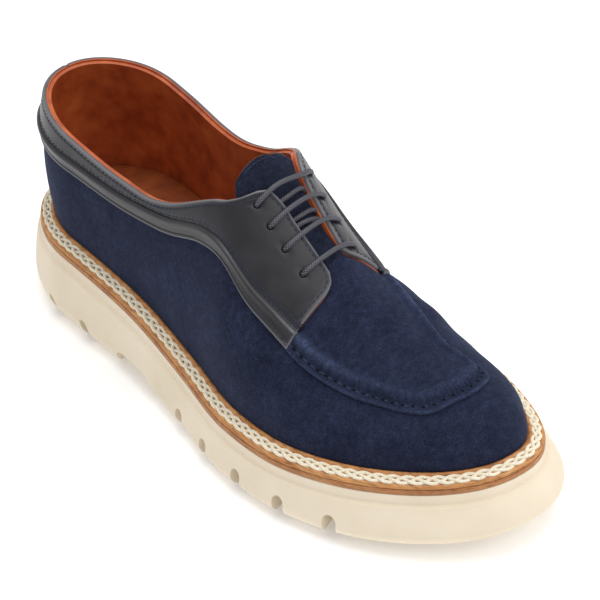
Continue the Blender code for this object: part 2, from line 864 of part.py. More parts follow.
def build_tongue():
    """Suede tongue below the facings, whose padded foot fills the throat up to the apron."""
    skin = Skin()
    stations = stations_between(TONGUE_END, 30.0, 5)
    stations += [station_at(x) for x in (34.0, 38.0, 42.0, 45.0, TONGUE_FRONT)]
    for side in (LATERAL, MEDIAL):
        def levels(t, side=side):
            x = station_x(t)
            wing = TONGUE_LEVEL + 0.07 * (1 - ease((x - TONGUE_END) / 8.0))
            pad = topline(side, x) + PAD_CLEARANCE if x > PAD_START else 0.93
            return spread(wing, pad - 0.008, 3) + [pad, (pad + 1) / 2, 1.0]
        skin.add_side(side, stations, levels)
    depth = -UPPER_WALL - TONGUE_CLEARANCE
    flush = OVERLAY_GAP + APRON_THICKNESS

    def top(side, t, s):
        x = station_x(t)
        if x <= PAD_START or s < topline(side, x) + PAD_CLEARANCE - 0.001:
            return depth
        return depth + (flush - depth) * ease((x - PAD_START) / (TONGUE_FRONT - PAD_START))
    return skin.solid("tongue", SUEDE, constant(depth - TONGUE_THICKNESS), top)


# ---------------------------------------------------------------- laces

LACE_RADIUS = 1.15
LACE_CLEARANCE = 0.45
LACE_SIDES = 6


def tube(name, path, radius, finish):
    """Round tube along a path of points, with closed ends."""
    points, faces = [], []
    count = len(path)
    for i, place in enumerate(path):
        along = (path[min(i + 1, count - 1)] - path[max(i - 1, 0)]).normalized()
        side = Vector((1, 0, 0)) - along * along.x
        side.normalize()
        up = along.cross(side)
        for k in range(LACE_SIDES):
            angle = 2 * math.pi * k / LACE_SIDES
            points.append(place + (side * math.cos(angle) + up * math.sin(angle)) * radius)
    for i in range(count - 1):
        for k in range(LACE_SIDES):
            j = (k + 1) % LACE_SIDES
            low, high = i * LACE_SIDES, (i + 1) * LACE_SIDES
            faces.append((low + k, low + j, high + j, high + k))
    faces.append(tuple(range(LACE_SIDES)))
    faces.append(tuple((count - 1) * LACE_SIDES + k for k in range(LACE_SIDES)))
    return add_object(name, points, faces, finish, 60.0)


def build_laces():
    """Four straight lace crossings, each from one eyelet to the other."""
    rise = OVERLAY_GAP + FACING_THICKNESS + LACE_CLEARANCE + LACE_RADIUS
    for row in range(len(EYELETS)):
        ends = [place for place in eyelet_places() if place[0] == row]
        path = []
        for _, side, t, s in ends:
            rim = facing_rim(side, station_x(t))
            reach = [(s, -0.4), (s, rise - 1.2), (s + 0.008, rise - 0.2), (s + 0.022, rise + 0.1)]
            reach += [(s + 0.045, rise), ((s + 0.045 + rim) / 2, rise), (rim, rise - 0.15)]
            bend = [offset_point(side, t, level, offset) for level, offset in reach]
            path += bend if side == LATERAL else bend[::-1]
        tube(f"lace_bar_{row + 1}", path, LACE_RADIUS, LACE)


def main():
    """Build every piece of the shoe."""
    clear_scene()
    build_sole()
    build_upper()
    build_apron()
    build_facing("facing_lateral", LATERAL)
    build_facing("facing_medial", MEDIAL)
    build_strap()
    build_tongue()
    build_laces()


main()
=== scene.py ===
"""Dressing of an apron-toe derby shoe for the right foot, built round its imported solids.

The shoe stands on its sole with its toe at +X, its inner (medial) side at +Y and +Z up. Sizes are
in millimetres and the finished meshes are in metres, in the solids' own place. Every leather part
of the upper lies on one form, the last, and is written as a side, a station along the feather
edge and a level from the feather edge up to the spine, as the solids are.
"""

import logging
import math
from collections.abc import Callable, Sequence
from dataclasses import dataclass
from enum import Enum
from typing import Any, NamedTuple

import bmesh
import bpy
import numpy as np
from mathutils import Matrix, Vector
from mathutils.kdtree import KDTree


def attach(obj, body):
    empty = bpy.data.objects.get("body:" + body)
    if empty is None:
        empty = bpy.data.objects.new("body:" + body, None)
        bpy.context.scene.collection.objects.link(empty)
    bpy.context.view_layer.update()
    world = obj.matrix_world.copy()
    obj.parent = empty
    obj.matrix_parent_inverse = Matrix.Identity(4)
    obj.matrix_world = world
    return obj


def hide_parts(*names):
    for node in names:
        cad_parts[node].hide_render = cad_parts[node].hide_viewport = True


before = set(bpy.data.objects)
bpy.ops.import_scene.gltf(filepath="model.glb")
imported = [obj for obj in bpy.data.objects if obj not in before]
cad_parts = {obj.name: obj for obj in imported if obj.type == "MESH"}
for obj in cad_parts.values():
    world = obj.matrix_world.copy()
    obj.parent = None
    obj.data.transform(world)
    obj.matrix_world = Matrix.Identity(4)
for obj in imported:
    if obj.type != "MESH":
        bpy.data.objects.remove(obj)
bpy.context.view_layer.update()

MM = 0.001
MERGE_DISTANCE = 0.004 * MM
SLIVER = 0.002 * MM
FEATHER_RUN = 328.0
"""Millimetres of feather edge on one side, for stitches and puckers."""
SPACING_RUN = 320.0
"""Length that one side counts as when stations are spread at a pitch."""
LOG = logging.getLogger("derby")
Array = np.ndarray
Values = Array | float
Triple = tuple[float, float, float]
Thing = bpy.types.Object
Tree = bpy.types.NodeTree
Node = bpy.types.Node
Socket = bpy.types.NodeSocket


class Side(Enum):
    """The two sides of the shoe, as the sign of Y."""

    LATERAL = -1
    MEDIAL = 1


class Pair(NamedTuple):
    """A value for either side."""

    lateral: float
    medial: float

    def at(self, side: Values) -> Array:
        """The value for whichever side each place is on."""
        return np.where(np.asarray(side) < 0, self.lateral, self.medial)


# ---- tables of the form


def table(kind: Callable[..., Any], *rows: Sequence[Any]) -> tuple[Any, ...]:
    """Rows of one kind, under its named columns."""
    return tuple(kind(*row) for row in rows)


class Ridge(NamedTuple):
    """Height of the spine above the feather edge."""

    x: float
    height: float


class Section(NamedTuple):
    """Shape of the half sections: the belly's swell, the crown's fullness and its rise."""

    x: float
    belly: float
    lateral: float
    medial: float
    lateral_lift: float
    medial_lift: float


class Sides(NamedTuple):
    """Half width, level of an edge or width of a strap on either side of the shoe."""

    x: float
    lateral: float
    medial: float


class Spot(NamedTuple):
    """A point of the facing's rounded front or the middle of an eyelet, on either side."""

    lateral_x: float
    lateral: float
    medial_x: float
    medial: float

    def on(self, side: int) -> tuple[float, float]:
        """Its x and level on one side."""
        return self[:2] if side < 0 else self[2:]


WIDTHS = table(
    Sides, (-143, 31.0, 31.0), (-114, 33.0, 32.0), (-86, 34.0, 31.0), (-43, 36.0, 27.0),
    (0, 43.0, 32.0), (34, 50.3, 41.5), (63, 50.8, 45.5), (92, 46.5, 45.5), (120, 41.0, 43.5),
    (143, 37.0, 42.0))
RIDGES = table(
    Ridge, (-143, 112.0), (-90, 110.0), (-30, 107.0), (0, 99.6), (15, 88.7), (30, 73.4), (45, 59.0),
    (60, 47.0), (75, 36.4), (90, 31.5), (105, 29.6), (120, 29.0), (143, 28.0))
SECTIONS = table(
    Section, (-143, 0.34, 0.32, 0.32, 0.50, 0.50), (-112, 0.22, 0.46, 0.46, 0.52, 0.52),
    (-60, 0.06, 0.64, 0.64, 0.55, 0.55), (0, 0.02, 0.43, 0.53, 0.55, 0.57),
    (22, 0.02, 0.64, 0.26, 0.585, 0.47), (45, 0.02, 0.60, 0.17, 0.577, 0.465),
    (90, 0.02, 0.50, 0.32, 0.58, 0.45), (115, 0.02, 0.56, 0.42, 0.60, 0.52),
    (143, 0.03, 0.62, 0.62, 0.61, 0.61))
TOPLINE = table(
    Sides, (-143, 0.390, 0.390), (-120, 0.375, 0.375), (-90, 0.350, 0.350), (-60, 0.345, 0.345),
    (-35, 0.375, 0.375), (-15, 0.465, 0.465), (0, 0.575, 0.610), (7.5, 0.650, 0.725),
    (12, 0.728, 0.775), (16.5, 0.858, 0.810), (22, 0.906, 0.828), (30, 0.920, 0.832),
    (40, 0.932, 0.838), (47, 0.937, 0.840))
STRAP_TOP = table(
    Sides, (-143, 0.300, 0.300), (-90, 0.285, 0.285), (-50, 0.305, 0.305), (-20, 0.375, 0.375),
    (0, 0.458, 0.455), (20, 0.542, 0.500), (36, 0.570, 0.512), (46, 0.594, 0.530),
    (56, 0.608, 0.545))
STRAP_WIDTH = table(
    Sides, (-143, 0.045, 0.045), (-60, 0.048, 0.048), (0, 0.056, 0.056), (20, 0.062, 0.062),
    (36, 0.084, 0.082), (56, 0.103, 0.100))
APRON_EDGE = table(
    Sides, (40, 0.495, 0.420), (53, 0.500, 0.437), (64, 0.498, 0.462), (79, 0.506, 0.488),
    (93, 0.506, 0.528), (108, 0.510, 0.562), (120, 0.497, 0.568), (129, 0.503, 0.530),
    (135, 0.545, 0.540), (139, 0.580, 0.572), (143, 0.602, 0.602))
FACING_NOSE = table(
    Spot, (48.4, 0.934, 43.2, 0.836), (51.0, 0.918, 44.1, 0.796), (53.0, 0.880, 44.6, 0.735),
    (54.3, 0.805, 45.3, 0.662), (55.0, 0.715, 46.6, 0.602), (55.4, 0.632, 48.6, 0.560))
EYELETS = table(
    Spot, (43.4, 0.811, 40.6, 0.700), (33.8, 0.803, 30.8, 0.690), (25.6, 0.796, 22.4, 0.705),
    (18.0, 0.780, 14.8, 0.720))


def ease(u: Values) -> Array:
    """Smooth step from 0 to 1."""
    u = np.clip(u, 0.0, 1.0)
    return u * u * (3 - 2 * u)


def bell(distance: Array, reach: float) -> Array:
    """Soft hump that is 1 at no distance and falls away beyond its reach."""
    return np.exp(-((distance / reach) ** 2))


def rolled(distance: Array, radius: float) -> Array:
    """Share of its full height that a rolled edge has at a distance in from the edge."""
    u = np.clip(distance / radius, 0.0, 1.0)
    return np.sqrt(np.clip(1 - (1 - u) ** 2, 0.0, 1.0))


def through(run: Array, values: Array, fine: Values) -> Array:
    """Smooth curve through values along a run.

    Args:
        run: Places of the values, in order.
        values: Values at those places.
        fine: Places to read.

    Returns:
        The curve's value at each of them.
    """
    fine = np.clip(fine, run[0], run[-1])
    slopes = np.gradient(values, run)
    i = np.clip(np.searchsorted(run, fine, side="right") - 1, 0, len(run) - 2)
    gap = run[i + 1] - run[i]
    u = (fine - run[i]) / gap
    start = (2 * u**3 - 3 * u**2 + 1) * values[i] + (u**3 - 2 * u**2 + u) * gap * slopes[i]
    end = (3 * u**2 - 2 * u**3) * values[i + 1] + (u**3 - u**2) * gap * slopes[i + 1]
    return start + end


def read_table(rows: Sequence[Any], column: str, x: Values) -> Array:
    """Read a column of a table at x, along a smooth curve through its rows.

    Args:
        rows: Rows that each have an x and the column.
        column: Name of the column.
        x: Places along the shoe.

    Returns:
        The column's value at each place.
    """
    xs = np.array([row.x for row in rows], float)
    return through(xs, np.array([getattr(row, column) for row in rows], float), x)


def by_side(rows: Sequence[Any], side: Values, x: Values, suffix: str = "") -> Array:
    """Read a table's lateral or medial column, for whichever side each place is on.

    Args:
        rows: Rows with an x and a column for either side.
        side: Sign of the side.
        x: Places along the shoe.
        suffix: What follows the side in the columns' names.

    Returns:
        The value at each place.
    """
    lateral = read_table(rows, "lateral" + suffix, x)
    medial = read_table(rows, "medial" + suffix, x)
    return np.where(np.asarray(side) < 0, lateral, medial)


def unit(vectors: Array) -> Array:
    """Vectors brought to length 1."""
    return vectors / np.maximum(np.linalg.norm(vectors, axis=-1, keepdims=True), 1e-12)


@dataclass(frozen=True)
class Last:
    """The form that the shoe is made on, by the same rule as the solids' source."""

    heel_x: float = -143.0
    toe_x: float = 143.0
    heel_cap: float = 46.0
    toe_cap: float = 88.0
    heel_arc: float = 1.35
    toe_arc: float = 1.3
    heel_fullness: float = 2.1
    toe_fullness: float = 2.2
    toe_shift: float = 8.5
    toe_spine: float = 0.40
    heel_spine: float = 0.15
    shift: Triple = (-1.55, 2.75, 0.0)
    feather_height: float = 30.6
    heel_rise: float = 12.0
    rise_start: float = 30.0
    rise_run: float = 140.0
    toe_spring: float = 7.0
    spring_run: float = 94.0
    spring_limit: float = 1.18
    floor_spring: float = 5.8
    flare_start: float = 58.0
    flare_run: float = 60.0
    step: float = 0.004
    inset_step: float = 0.002
    speed_step: float = 0.01
    spine_step: float = 0.5
    loop_steps: int = 220

    @property
    def arcs(self) -> Triple:
        """Weights of the heel cap, the straight and the toe cap along the stations."""
        straight = self.toe_x - self.heel_x - self.heel_cap - self.toe_cap
        return self.heel_cap * self.heel_arc, straight, self.toe_cap * self.toe_arc

    def station_x(self, t: Array) -> Array:
        """X of the feather edge at station t, from 0 at the heel to 1 at the toe."""
        heel, straight, toe = self.arcs
        run = np.asarray(t, float) * (heel + straight + toe)
        back = self.heel_x + self.heel_cap * (1 - np.cos(np.clip(run / heel, 0, 1) * math.pi / 2))
        turn = np.clip((run - heel - straight) / toe, 0, 1)
        front = self.toe_x - self.toe_cap + self.toe_cap * np.sin(turn * math.pi / 2)
        middle = self.heel_x + self.heel_cap + run - heel
        return np.where(run < heel, back, np.where(run > heel + straight, front, middle))

    def station_at(self, x: Values) -> Array:
        """Station whose feather edge is at x."""
        x = np.asarray(x, float)
        low, high = np.zeros_like(x), np.ones_like(x)
        for _ in range(40):
            middle = (low + high) / 2
            below = self.station_x(middle) < x
            low, high = np.where(below, middle, low), np.where(below, high, middle)
        found = (low + high) / 2
        return np.where(x <= self.heel_x, 0.0, np.where(x >= self.toe_x, 1.0, found))

    def centre_y(self, x: Array) -> Array:
        """Middle line of the last, which swings inwards at the toe."""
        return self.toe_shift * ease((x - self.toe_x + self.toe_cap) / self.toe_cap)

    def feather(self, side: Values, t: Array) -> tuple[Array, Array]:
        """Plan point of the feather edge.

        Args:
            side: Sign of the side.
            t: Stations.

        Returns:
            X and Y of each point.
        """
        x = self.station_x(t)
        width = by_side(WIDTHS, side, x)
        back = np.clip((self.heel_x + self.heel_cap - x) / self.heel_cap, 0, 1)
        front = np.clip((x - self.toe_x + self.toe_cap) / self.toe_cap, 0, 1)
        cap = np.clip(1 - back**self.heel_fullness, 0, 1) ** (1 / self.heel_fullness)
        cap = cap * np.clip(1 - front**self.toe_fullness, 0, 1) ** (1 / self.toe_fullness)
        centre = self.centre_y(x)
        return x, centre + side * (width - side * centre) * cap

    def spine_x(self, x: Array) -> Array:
        """X of the spine point that a section line from feather edge x runs to."""
        toe = self.toe_x - self.toe_cap
        heel = self.heel_x + self.heel_cap
        front = toe + (x - toe) * self.toe_spine
        back = heel + (x - heel) * self.heel_spine
        return np.where(x > toe, front, np.where(x < heel, back, x))

    def spring(self, x: Array) -> Array:
        """Share of the way from the ball to the toe's tip, and a little past it."""
        share = (x - self.toe_x + self.spring_run) / self.spring_run
        return np.clip(share, 0.0, self.spring_limit)

    def feather_z(self, x: Array) -> Array:
        """Height of the feather edge."""
        toe = self.spring(x)
        heel = ease((self.rise_start - x) / self.rise_run)
        return self.feather_height + self.toe_spring * toe * toe + self.heel_rise * heel

    def floor_z(self, x: Array) -> Array:
        """Height of the tread: on the floor, and rising under the toe."""
        toe = self.spring(x)
        return self.floor_spring * toe * toe

    def point(self, side: Values, t: Array, s: Array) -> Array:
        """Point of the last at level s, from the feather edge at 0 to the spine at 1.

        Args:
            side: Sign of the side.
            t: Stations.
            s: Levels.

        Returns:
            The points, before the shoe's shift.
        """
        edge_x, edge_y = self.feather(side, t)
        top_x = self.spine_x(edge_x)
        top_y = self.centre_y(top_x)
        belly = read_table(SECTIONS, "belly", edge_x)
        crown = by_side(SECTIONS, side, edge_x)
        lift = by_side(SECTIONS, side, edge_x, "_lift")
        q = 1 - s
        out = q**3 + 3 * q * q * s * (1 + belly) + 3 * q * s * s * crown
        up = 3 * q * q * s * lift + 3 * q * s * s + s**3
        x = top_x + (edge_x - top_x) * out
        y = top_y + (edge_y - top_y) * out
        z = self.feather_z(x) + read_table(RIDGES, "height", x) * up
        return np.stack(np.broadcast_arrays(x, y, z), -1)

    def side_normal(self, side: Values, t: Array, s: Array) -> Array:
        """Outward normal of one side's surface."""
        t0, t1 = np.clip(t - self.step, 0, 1), np.clip(t + self.step, 0, 1)
        s0, s1 = s - self.step, np.minimum(s + self.step, 1.0)
        along = self.point(side, t1, s) - self.point(side, t0, s)
        up = self.point(side, t, s1) - self.point(side, t, s0)
        return unit(np.cross(along, up) * -np.asarray(side, float)[..., None])

    def normal(self, side: Values, t: Array, s: Array) -> Array:
        """Outward normal, the same from both sides where they meet.

        Args:
            side: Sign of the side.
            t: Stations.
            s: Levels.

        Returns:
            Normals of length 1.
        """
        side, t, s = np.broadcast_arrays(np.asarray(side, float), t, s)
        own = self.side_normal(side, t, s)
        both = unit(own + self.side_normal(-side, t, s))
        own = np.where(((t <= 0.0) | (t >= 1.0))[..., None], both, own)
        x = self.spine_x(self.station_x(t))
        rise = sum(way * (self.feather_z(x + way * self.spine_step)
                          + read_table(RIDGES, "height", x + way * self.spine_step))
                   for way in (-1, 1))
        spine = unit(np.stack([-rise, np.zeros_like(rise), np.ones_like(rise)], -1))
        return np.where((s >= 1.0)[..., None], spine, own)

    def place(self, side: Values, t: Array, s: Array, offset: Values) -> Array:
        """Point of the shoe, in its standing place, at an offset out from the last."""
        offset = np.asarray(offset, float)[..., None]
        return self.point(side, t, s) + self.normal(side, t, s) * offset + np.array(self.shift)

    def speed(self, side: Values, t: Array, s: Array) -> Array:
        """Millimetres of surface for each unit of level."""
        s0, s1 = s - self.speed_step, np.minimum(s + self.speed_step, 1.0)
        rise = self.point(side, t, s1) - self.point(side, t, s0)
        return np.linalg.norm(rise, axis=-1) / (s1 - s0)

    def raised(self, side: Values, t: Array, s: Array, distance: Values) -> Array:
        """Level that lies a distance further up the surface than another."""
        return s + distance / self.speed(side, t, s)

    def inset(self, side: int, t: Array, s: Array, distance: float) -> tuple[Array, Array]:
        """Move a line on the last sideways over its surface.

        Args:
            side: Sign of the side.
            t: Stations of the line's points.
            s: Levels of the line's points.
            distance: How far the line moves, to the left of its run when seen from outside.

        Returns:
            Stations and levels of the moved line.
        """
        points = self.point(side, t, s)
        run = unit(np.gradient(points, axis=0))
        move = np.cross(self.normal(side, t, s), run) * distance
        step = self.inset_step
        by_t = (self.point(side, t + step, s) - self.point(side, t - step, s)) / (2 * step)
        by_s = (self.point(side, t, s + step) - self.point(side, t, s - step)) / (2 * step)
        a, b, c = (by_t * by_t).sum(-1), (by_t * by_s).sum(-1), (by_s * by_s).sum(-1)
        p, q = (by_t * move).sum(-1), (by_s * move).sum(-1)
        det = a * c - b * b
        return t + (p * c - q * b) / det, s + (q * a - p * b) / det

    def outline(self, offset: float, flare: float = 0.0) -> Array:
        """Closed plan loop round the last, moved outwards.

        Args:
            offset: How far the loop stands out from the feather edge.
            flare: How much further it stands out round the toe.

        Returns:
            Plan points, from the heel along the lateral side and back along the medial one.
        """
        t = np.linspace(0, 1, self.loop_steps + 1)
        lateral = np.stack(self.feather(-1, t), -1)
        medial = np.stack(self.feather(1, t[1:-1]), -1)[::-1]
        loop = np.concatenate([lateral, medial])
        along = unit(np.roll(loop, -1, 0) - np.roll(loop, 1, 0))
        reach = offset + flare * ease((loop[:, 0] - self.flare_start) / self.flare_run)
        return loop + np.stack([along[:, 1], -along[:, 0]], -1) * reach[:, None]


LAST = Last()


@dataclass
class Spots:
    """The points of a patch, as arrays that its thickness is worked out from."""

    side: Array
    t: Array
    s: Array
    x: Array
    edge: Array

    def on_last(self) -> Array:
        """The points on the last itself."""
        return LAST.point(self.side, self.t, self.s)

    def up_from(self, level: Array) -> Array:
        """Distance of each point up from a level."""
        return (self.s - level) * LAST.speed(self.side, self.t, level)


Rise = Callable[[Spots], Array]


class Throat:
    """Edges of the facings, the throat and the strap, as levels along the shoe."""

    bend = 43.5
    end = 49.5
    level_run = 110.0
    nose_points = 61
    rim_start = 40.0
    far = 99.0

    @staticmethod
    def nose(side: int) -> tuple[Array, Array]:
        """Dense smooth line round the front of a facing, as x and level."""
        xs, levels = (np.array(column) for column in zip(*(row.on(side) for row in FACING_NOSE)))
        steps = np.hypot(np.diff(xs), np.diff(levels) * Throat.level_run)
        run = np.concatenate([[0], np.cumsum(steps)])
        fine = np.linspace(0, run[-1], Throat.nose_points)
        xs, levels = (through(run, values, fine) for values in (xs, levels))
        return xs, levels

    @classmethod
    def rim(cls, side: int, x: Array) -> Array:
        """Level of a facing's edge at the collar, the throat and round its nose."""
        xs, levels = cls.nose(side)
        plain = by_side(TOPLINE, side, x)
        return np.where(x <= xs[0], plain, np.interp(x, xs, levels))

    @classmethod
    def gap(cls, spots: Spots) -> Array:
        """Distance of each point from the facing's front on its side, 0 below the facing."""
        away = np.full(len(spots.t), cls.far)
        here = spots.on_last()
        for side in (-1, 1):
            xs, levels = cls.nose(side)
            behind = np.linspace(cls.rim_start, xs[0], 12)[:-1]
            x = np.concatenate([behind, xs])
            line = LAST.point(side, LAST.station_at(x),
                              np.concatenate([by_side(TOPLINE, side, behind), levels]))
            own = spots.side == side
            apart = np.linalg.norm(here[own, None] - line[None], axis=2).min(axis=1)
            below = (spots.x[own] < xs[-1]) & (spots.s[own] < cls.rim(side, spots.x[own]))
            away[own] = np.where(below, 0.0, apart)
        return away

    @classmethod
    def topline(cls, side: int, x: Array) -> Array:
        """Level of the shell's edge, which closes over the spine at the throat's end."""
        level = by_side(TOPLINE, side, x)
        turn = np.clip((x - cls.bend) / (cls.end - cls.bend), 0, 1)
        level = level + (1 - level) * (1 - np.sqrt(1 - turn * turn))
        return np.where(x >= cls.end, 1.0, level)


# ---- meshes


def finish_mesh(thing: Thing, sharp_angle: float = 50.0) -> None:
    """Merge doubled points, turn the faces outwards and smooth the shading.

    Args:
        thing: Object with a closed mesh.
        sharp_angle: Angle between faces, in degrees, past which an edge stays crisp.
    """
    work = bmesh.new()
    work.from_mesh(thing.data)
    bmesh.ops.remove_doubles(work, verts=work.verts, dist=MERGE_DISTANCE)
    bmesh.ops.dissolve_degenerate(work, edges=work.edges, dist=SLIVER)
    bmesh.ops.recalc_face_normals(work, faces=work.faces)
    work.to_mesh(thing.data)
    work.free()
    thing.data.shade_smooth()
    thing.data.set_sharp_from_angle(angle=math.radians(sharp_angle))


def new_object(name: str, data: Any) -> Thing:
    """Add an object that holds a mesh, a light or a camera to the scene."""
    thing = bpy.data.objects.new(name, data)
    bpy.context.scene.collection.objects.link(thing)
    return thing


def add_object(name: str, points: Array, faces: Sequence[Sequence[int]]) -> Thing:
    """Add a mesh object from points in millimetres.

    Args:
        name: Name of the piece.
        points: Its points, in the shoe's standing place.
        faces: Its faces, as numbers of points.

    Returns:
        The new object, at the origin.
    """
    mesh = bpy.data.meshes.new(name)
    mesh.from_pydata((np.asarray(points) * MM).tolist(), [], list(faces))
    return new_object(name, mesh)


def plain_faces(quads: Array) -> list[tuple[int, ...]]:
    """Faces of quads, with the ones that close to a point as triangles."""
    closed = (quads == np.roll(quads, 1, axis=1)).any(axis=1)
    faces = [tuple(quad) for quad in quads[~closed].tolist()]
    short = [tuple(dict.fromkeys(quad)) for quad in quads[closed].tolist()]
    return faces + [face for face in short if len(face) > 2]


def boundary(quads: Array) -> Array:
    """Edges that only one of the quads uses, in its direction."""
    edges = np.concatenate([quads[:, [i, (i + 1) % 4]] for i in range(4)])
    edges = edges[edges[:, 0] != edges[:, 1]]
    ordered = np.sort(edges, axis=1)
    _, first, count = np.unique(ordered, axis=0, return_index=True, return_counts=True)
    return edges[first[count == 1]]


class EdgeFinder:
    """Distance from points to the border of a patch."""

    def __init__(self, points: Array, edges: Array) -> None:
        """Keep the border's edges round each of its points.

        Args:
            points: All points of the patch.
            edges: Border edges, as pairs of point numbers.
        """
        self.points = points
        self.edges = edges
        self.ring: dict[int, list[int]] = {}
        for number, (a, b) in enumerate(edges.tolist()):
            self.ring.setdefault(a, []).append(number)
            self.ring.setdefault(b, []).append(number)
        self.corners = list(self.ring)
        self.tree = KDTree(len(self.corners))
        for number, corner in enumerate(self.corners):
            self.tree.insert(points[corner], number)
        self.tree.balance()

    def __call__(self, places: Array) -> Array:
        """Distance of each place from the border."""
        near = [self.corners[self.tree.find(place)[1]] for place in places]
        best = np.full(len(places), np.inf)
        for pick in (0, 1):
            numbers = [self.ring[corner][min(pick, len(self.ring[corner]) - 1)] for corner in near]
            a = self.points[self.edges[numbers, 0]]
            run = self.points[self.edges[numbers, 1]] - a
            share = ((places - a) * run).sum(-1) / np.maximum((run * run).sum(-1), 1e-9)
            foot = a + run * np.clip(share, 0, 1)[:, None]
            best = np.minimum(best, np.linalg.norm(places - foot, axis=-1))
        return best


def flat(value: float) -> Rise:
    """Offset that is the same all over a patch."""
    return lambda spots: np.full(len(spots.t), value)


class Skin:
    """A patch of the last's surface, as cells between stations and levels."""

    def __init__(self) -> None:
        """Start with no cells."""
        self.grids: list[tuple[int, Array, Array]] = []

    def add(self, side: int, stations: Array, levels: Array) -> None:
        """Add one side's cells.

        Args:
            side: Sign of the side.
            stations: Stations of the columns.
            levels: Levels of the rows, one row of them for each station.
        """
        self.grids.append((side, np.broadcast_to(stations[:, None], levels.shape), levels))

    def gather(self) -> tuple[Spots, Array]:
        """Merge the points that the two sides share.

        Returns:
            The points and the quads between them.
        """
        keys, quads, start = [], [], 0
        for side, t, s in self.grids:
            shared = (s >= 1.0) | (t <= 0.0) | (t >= 1.0)
            keys.append(np.stack([np.where(shared, 0, side), t, s], -1).reshape(-1, 3))
            index = start + np.arange(t.size).reshape(t.shape)
            quads.append(np.stack([index[:-1, :-1], index[1:, :-1], index[1:, 1:],
                                   index[:-1, 1:]], -1).reshape(-1, 4))
            start += t.size
        found, number = np.unique(np.round(np.concatenate(keys), 6), axis=0, return_inverse=True)
        side = np.where(found[:, 0] == 0, -1, found[:, 0])
        quads = number.reshape(-1)[np.concatenate(quads)]
        spots = Spots(side, found[:, 1], found[:, 2], LAST.station_x(found[:, 1]), found[:, 1])
        return spots, quads

    def solid(self, name: str, bottom: Rise, top: Rise, worn: Rise | None = None
              ) -> Thing:
        """Closed solid between two offsets from the last.

        Args:
            name: Name of the piece.
            bottom: Offset of its underside.
            top: Offset of its outside.
            worn: How far its outside is paler, from 0 to 1: rubbed and cut edges, and painted
                highlight on crests and rims.

        Returns:
            The new object.
        """
        spots, quads = self.gather()
        rim = boundary(quads)
        base = LAST.place(spots.side, spots.t, spots.s, 0.0)
        spots.edge = EdgeFinder(base, rim)(base)
        count = len(base)
        points = np.concatenate([LAST.place(spots.side, spots.t, spots.s, rise(spots))
                                 for rise in (top, bottom)])
        faces = plain_faces(quads) + plain_faces(quads[:, ::-1] + count)
        faces += [(b, a, count + a, count + b) for a, b in rim.tolist()]
        thing = add_object(name, points, faces)
        # Paler marks kept for each point: real cut edges and wear, and painted highlight on crests
        # and rims.
        if worn:
            held = thing.data.attributes.new("worn", "FLOAT", "POINT")
            held.data.foreach_set("value", np.concatenate([worn(spots), np.zeros(count)]))
        finish_mesh(thing)
        return thing


EDGE_STEPS = (0.0, 0.10, 0.30, 0.60, 1.0, 1.5, 2.1)
EDGE_SHARE = 0.42


def rows_between(side: int, stations: Array, low: Array, high: Array, count: int,
                 low_steps: Sequence[float] = EDGE_STEPS,
                 high_steps: Sequence[float] = EDGE_STEPS) -> Array:
    """Levels of a patch's rows, closer together at its edges.

    Args:
        side: Sign of the side.
        stations: Stations of the columns.
        low: Lower edge of the patch at each station.
        high: Upper edge at each station.
        count: Number of even steps between the rows near the edges.
        low_steps: Places of the rows near the lower edge, in millimetres in from it.
        high_steps: The same for the upper edge.

    Returns:
        One row of levels for each station.
    """
    width = LAST.speed(side, stations, (low + high) / 2) * (high - low)
    room = np.maximum(width, 0.01)[:, None]

    def near(steps: Sequence[float]) -> Array:
        """Shares of the width that the steps take, drawn together where it is narrow."""
        places = np.array(steps, float)[None, :] / room
        return places * np.minimum(1.0, EDGE_SHARE / np.maximum(places[:, -1:], 1e-9))

    first, last = near(low_steps), 1 - near(high_steps)[:, ::-1]
    even = np.linspace(0, 1, count + 1)[None, 1:-1]
    middle = first[:, -1:] + (last[:, :1] - first[:, -1:]) * even
    share = np.concatenate([first, middle, last], axis=1)
    return low[:, None] + (high - low)[:, None] * share


def cut(thing: Thing, cutters: Sequence[Thing]) -> None:
    """Cut cutters out of an object, and remove them."""
    for cutter in cutters:
        boolean = thing.modifiers.new("cut", "BOOLEAN")
        boolean.operation = "DIFFERENCE"
        boolean.solver = "EXACT"
        boolean.object = cutter
    settle(thing)
    for cutter in cutters:
        bpy.data.objects.remove(cutter, do_unlink=True)


def settle(thing: Thing) -> None:
    """Turn an object's modifiers into its plain mesh."""
    bpy.context.view_layer.update()
    held = bpy.context.evaluated_depsgraph_get()
    mesh = bpy.data.meshes.new_from_object(thing.evaluated_get(held))
    thing.modifiers.clear()
    old, thing.data = thing.data, mesh
    mesh.name = thing.name
    bpy.data.meshes.remove(old)


def band_faces(start: int, count: int) -> list[tuple[int, ...]]:
    """Faces between one loop of points and the next."""
    return [(start + i, start + (i + 1) % count, start + count + (i + 1) % count,
             start + count + i) for i in range(count)]


def stack_rings(name: str, rings: Sequence[tuple[Array, Array]]) -> Thing:
    """Closed solid through a stack of plan loops, from the bottom up.

    Args:
        name: Name of the piece.
        rings: Plan points and heights of each loop.

    Returns:
        The new object.
    """
    count = len(rings[0][0])
    half = count // 2
    points = np.concatenate([np.column_stack([loop, height]) for loop, height in rings])
    points = points + np.array(LAST.shift)
    around = np.arange(count)
    quads = [np.stack([around, np.roll(around, -1), np.roll(around, -1) + count,
                       around + count], -1) + level * count for level in range(len(rings) - 1)]
    steps = np.arange(half)
    ladder = np.stack([steps, (count - steps) % count, (count - steps - 1) % count, steps + 1], -1)
    quads += [ladder, ladder[:, ::-1] + (len(rings) - 1) * count]
    thing = add_object(name, points, plain_faces(np.concatenate(quads)))
    finish_mesh(thing, 38.0)
    return thing


def loop_ring(offset: float, rise: float) -> tuple[Array, Array]:
    """Plan loop round the last with its height, which follows the feather edge."""
    loop = LAST.outline(offset)
    return loop, LAST.feather_z(loop[:, 0]) + rise


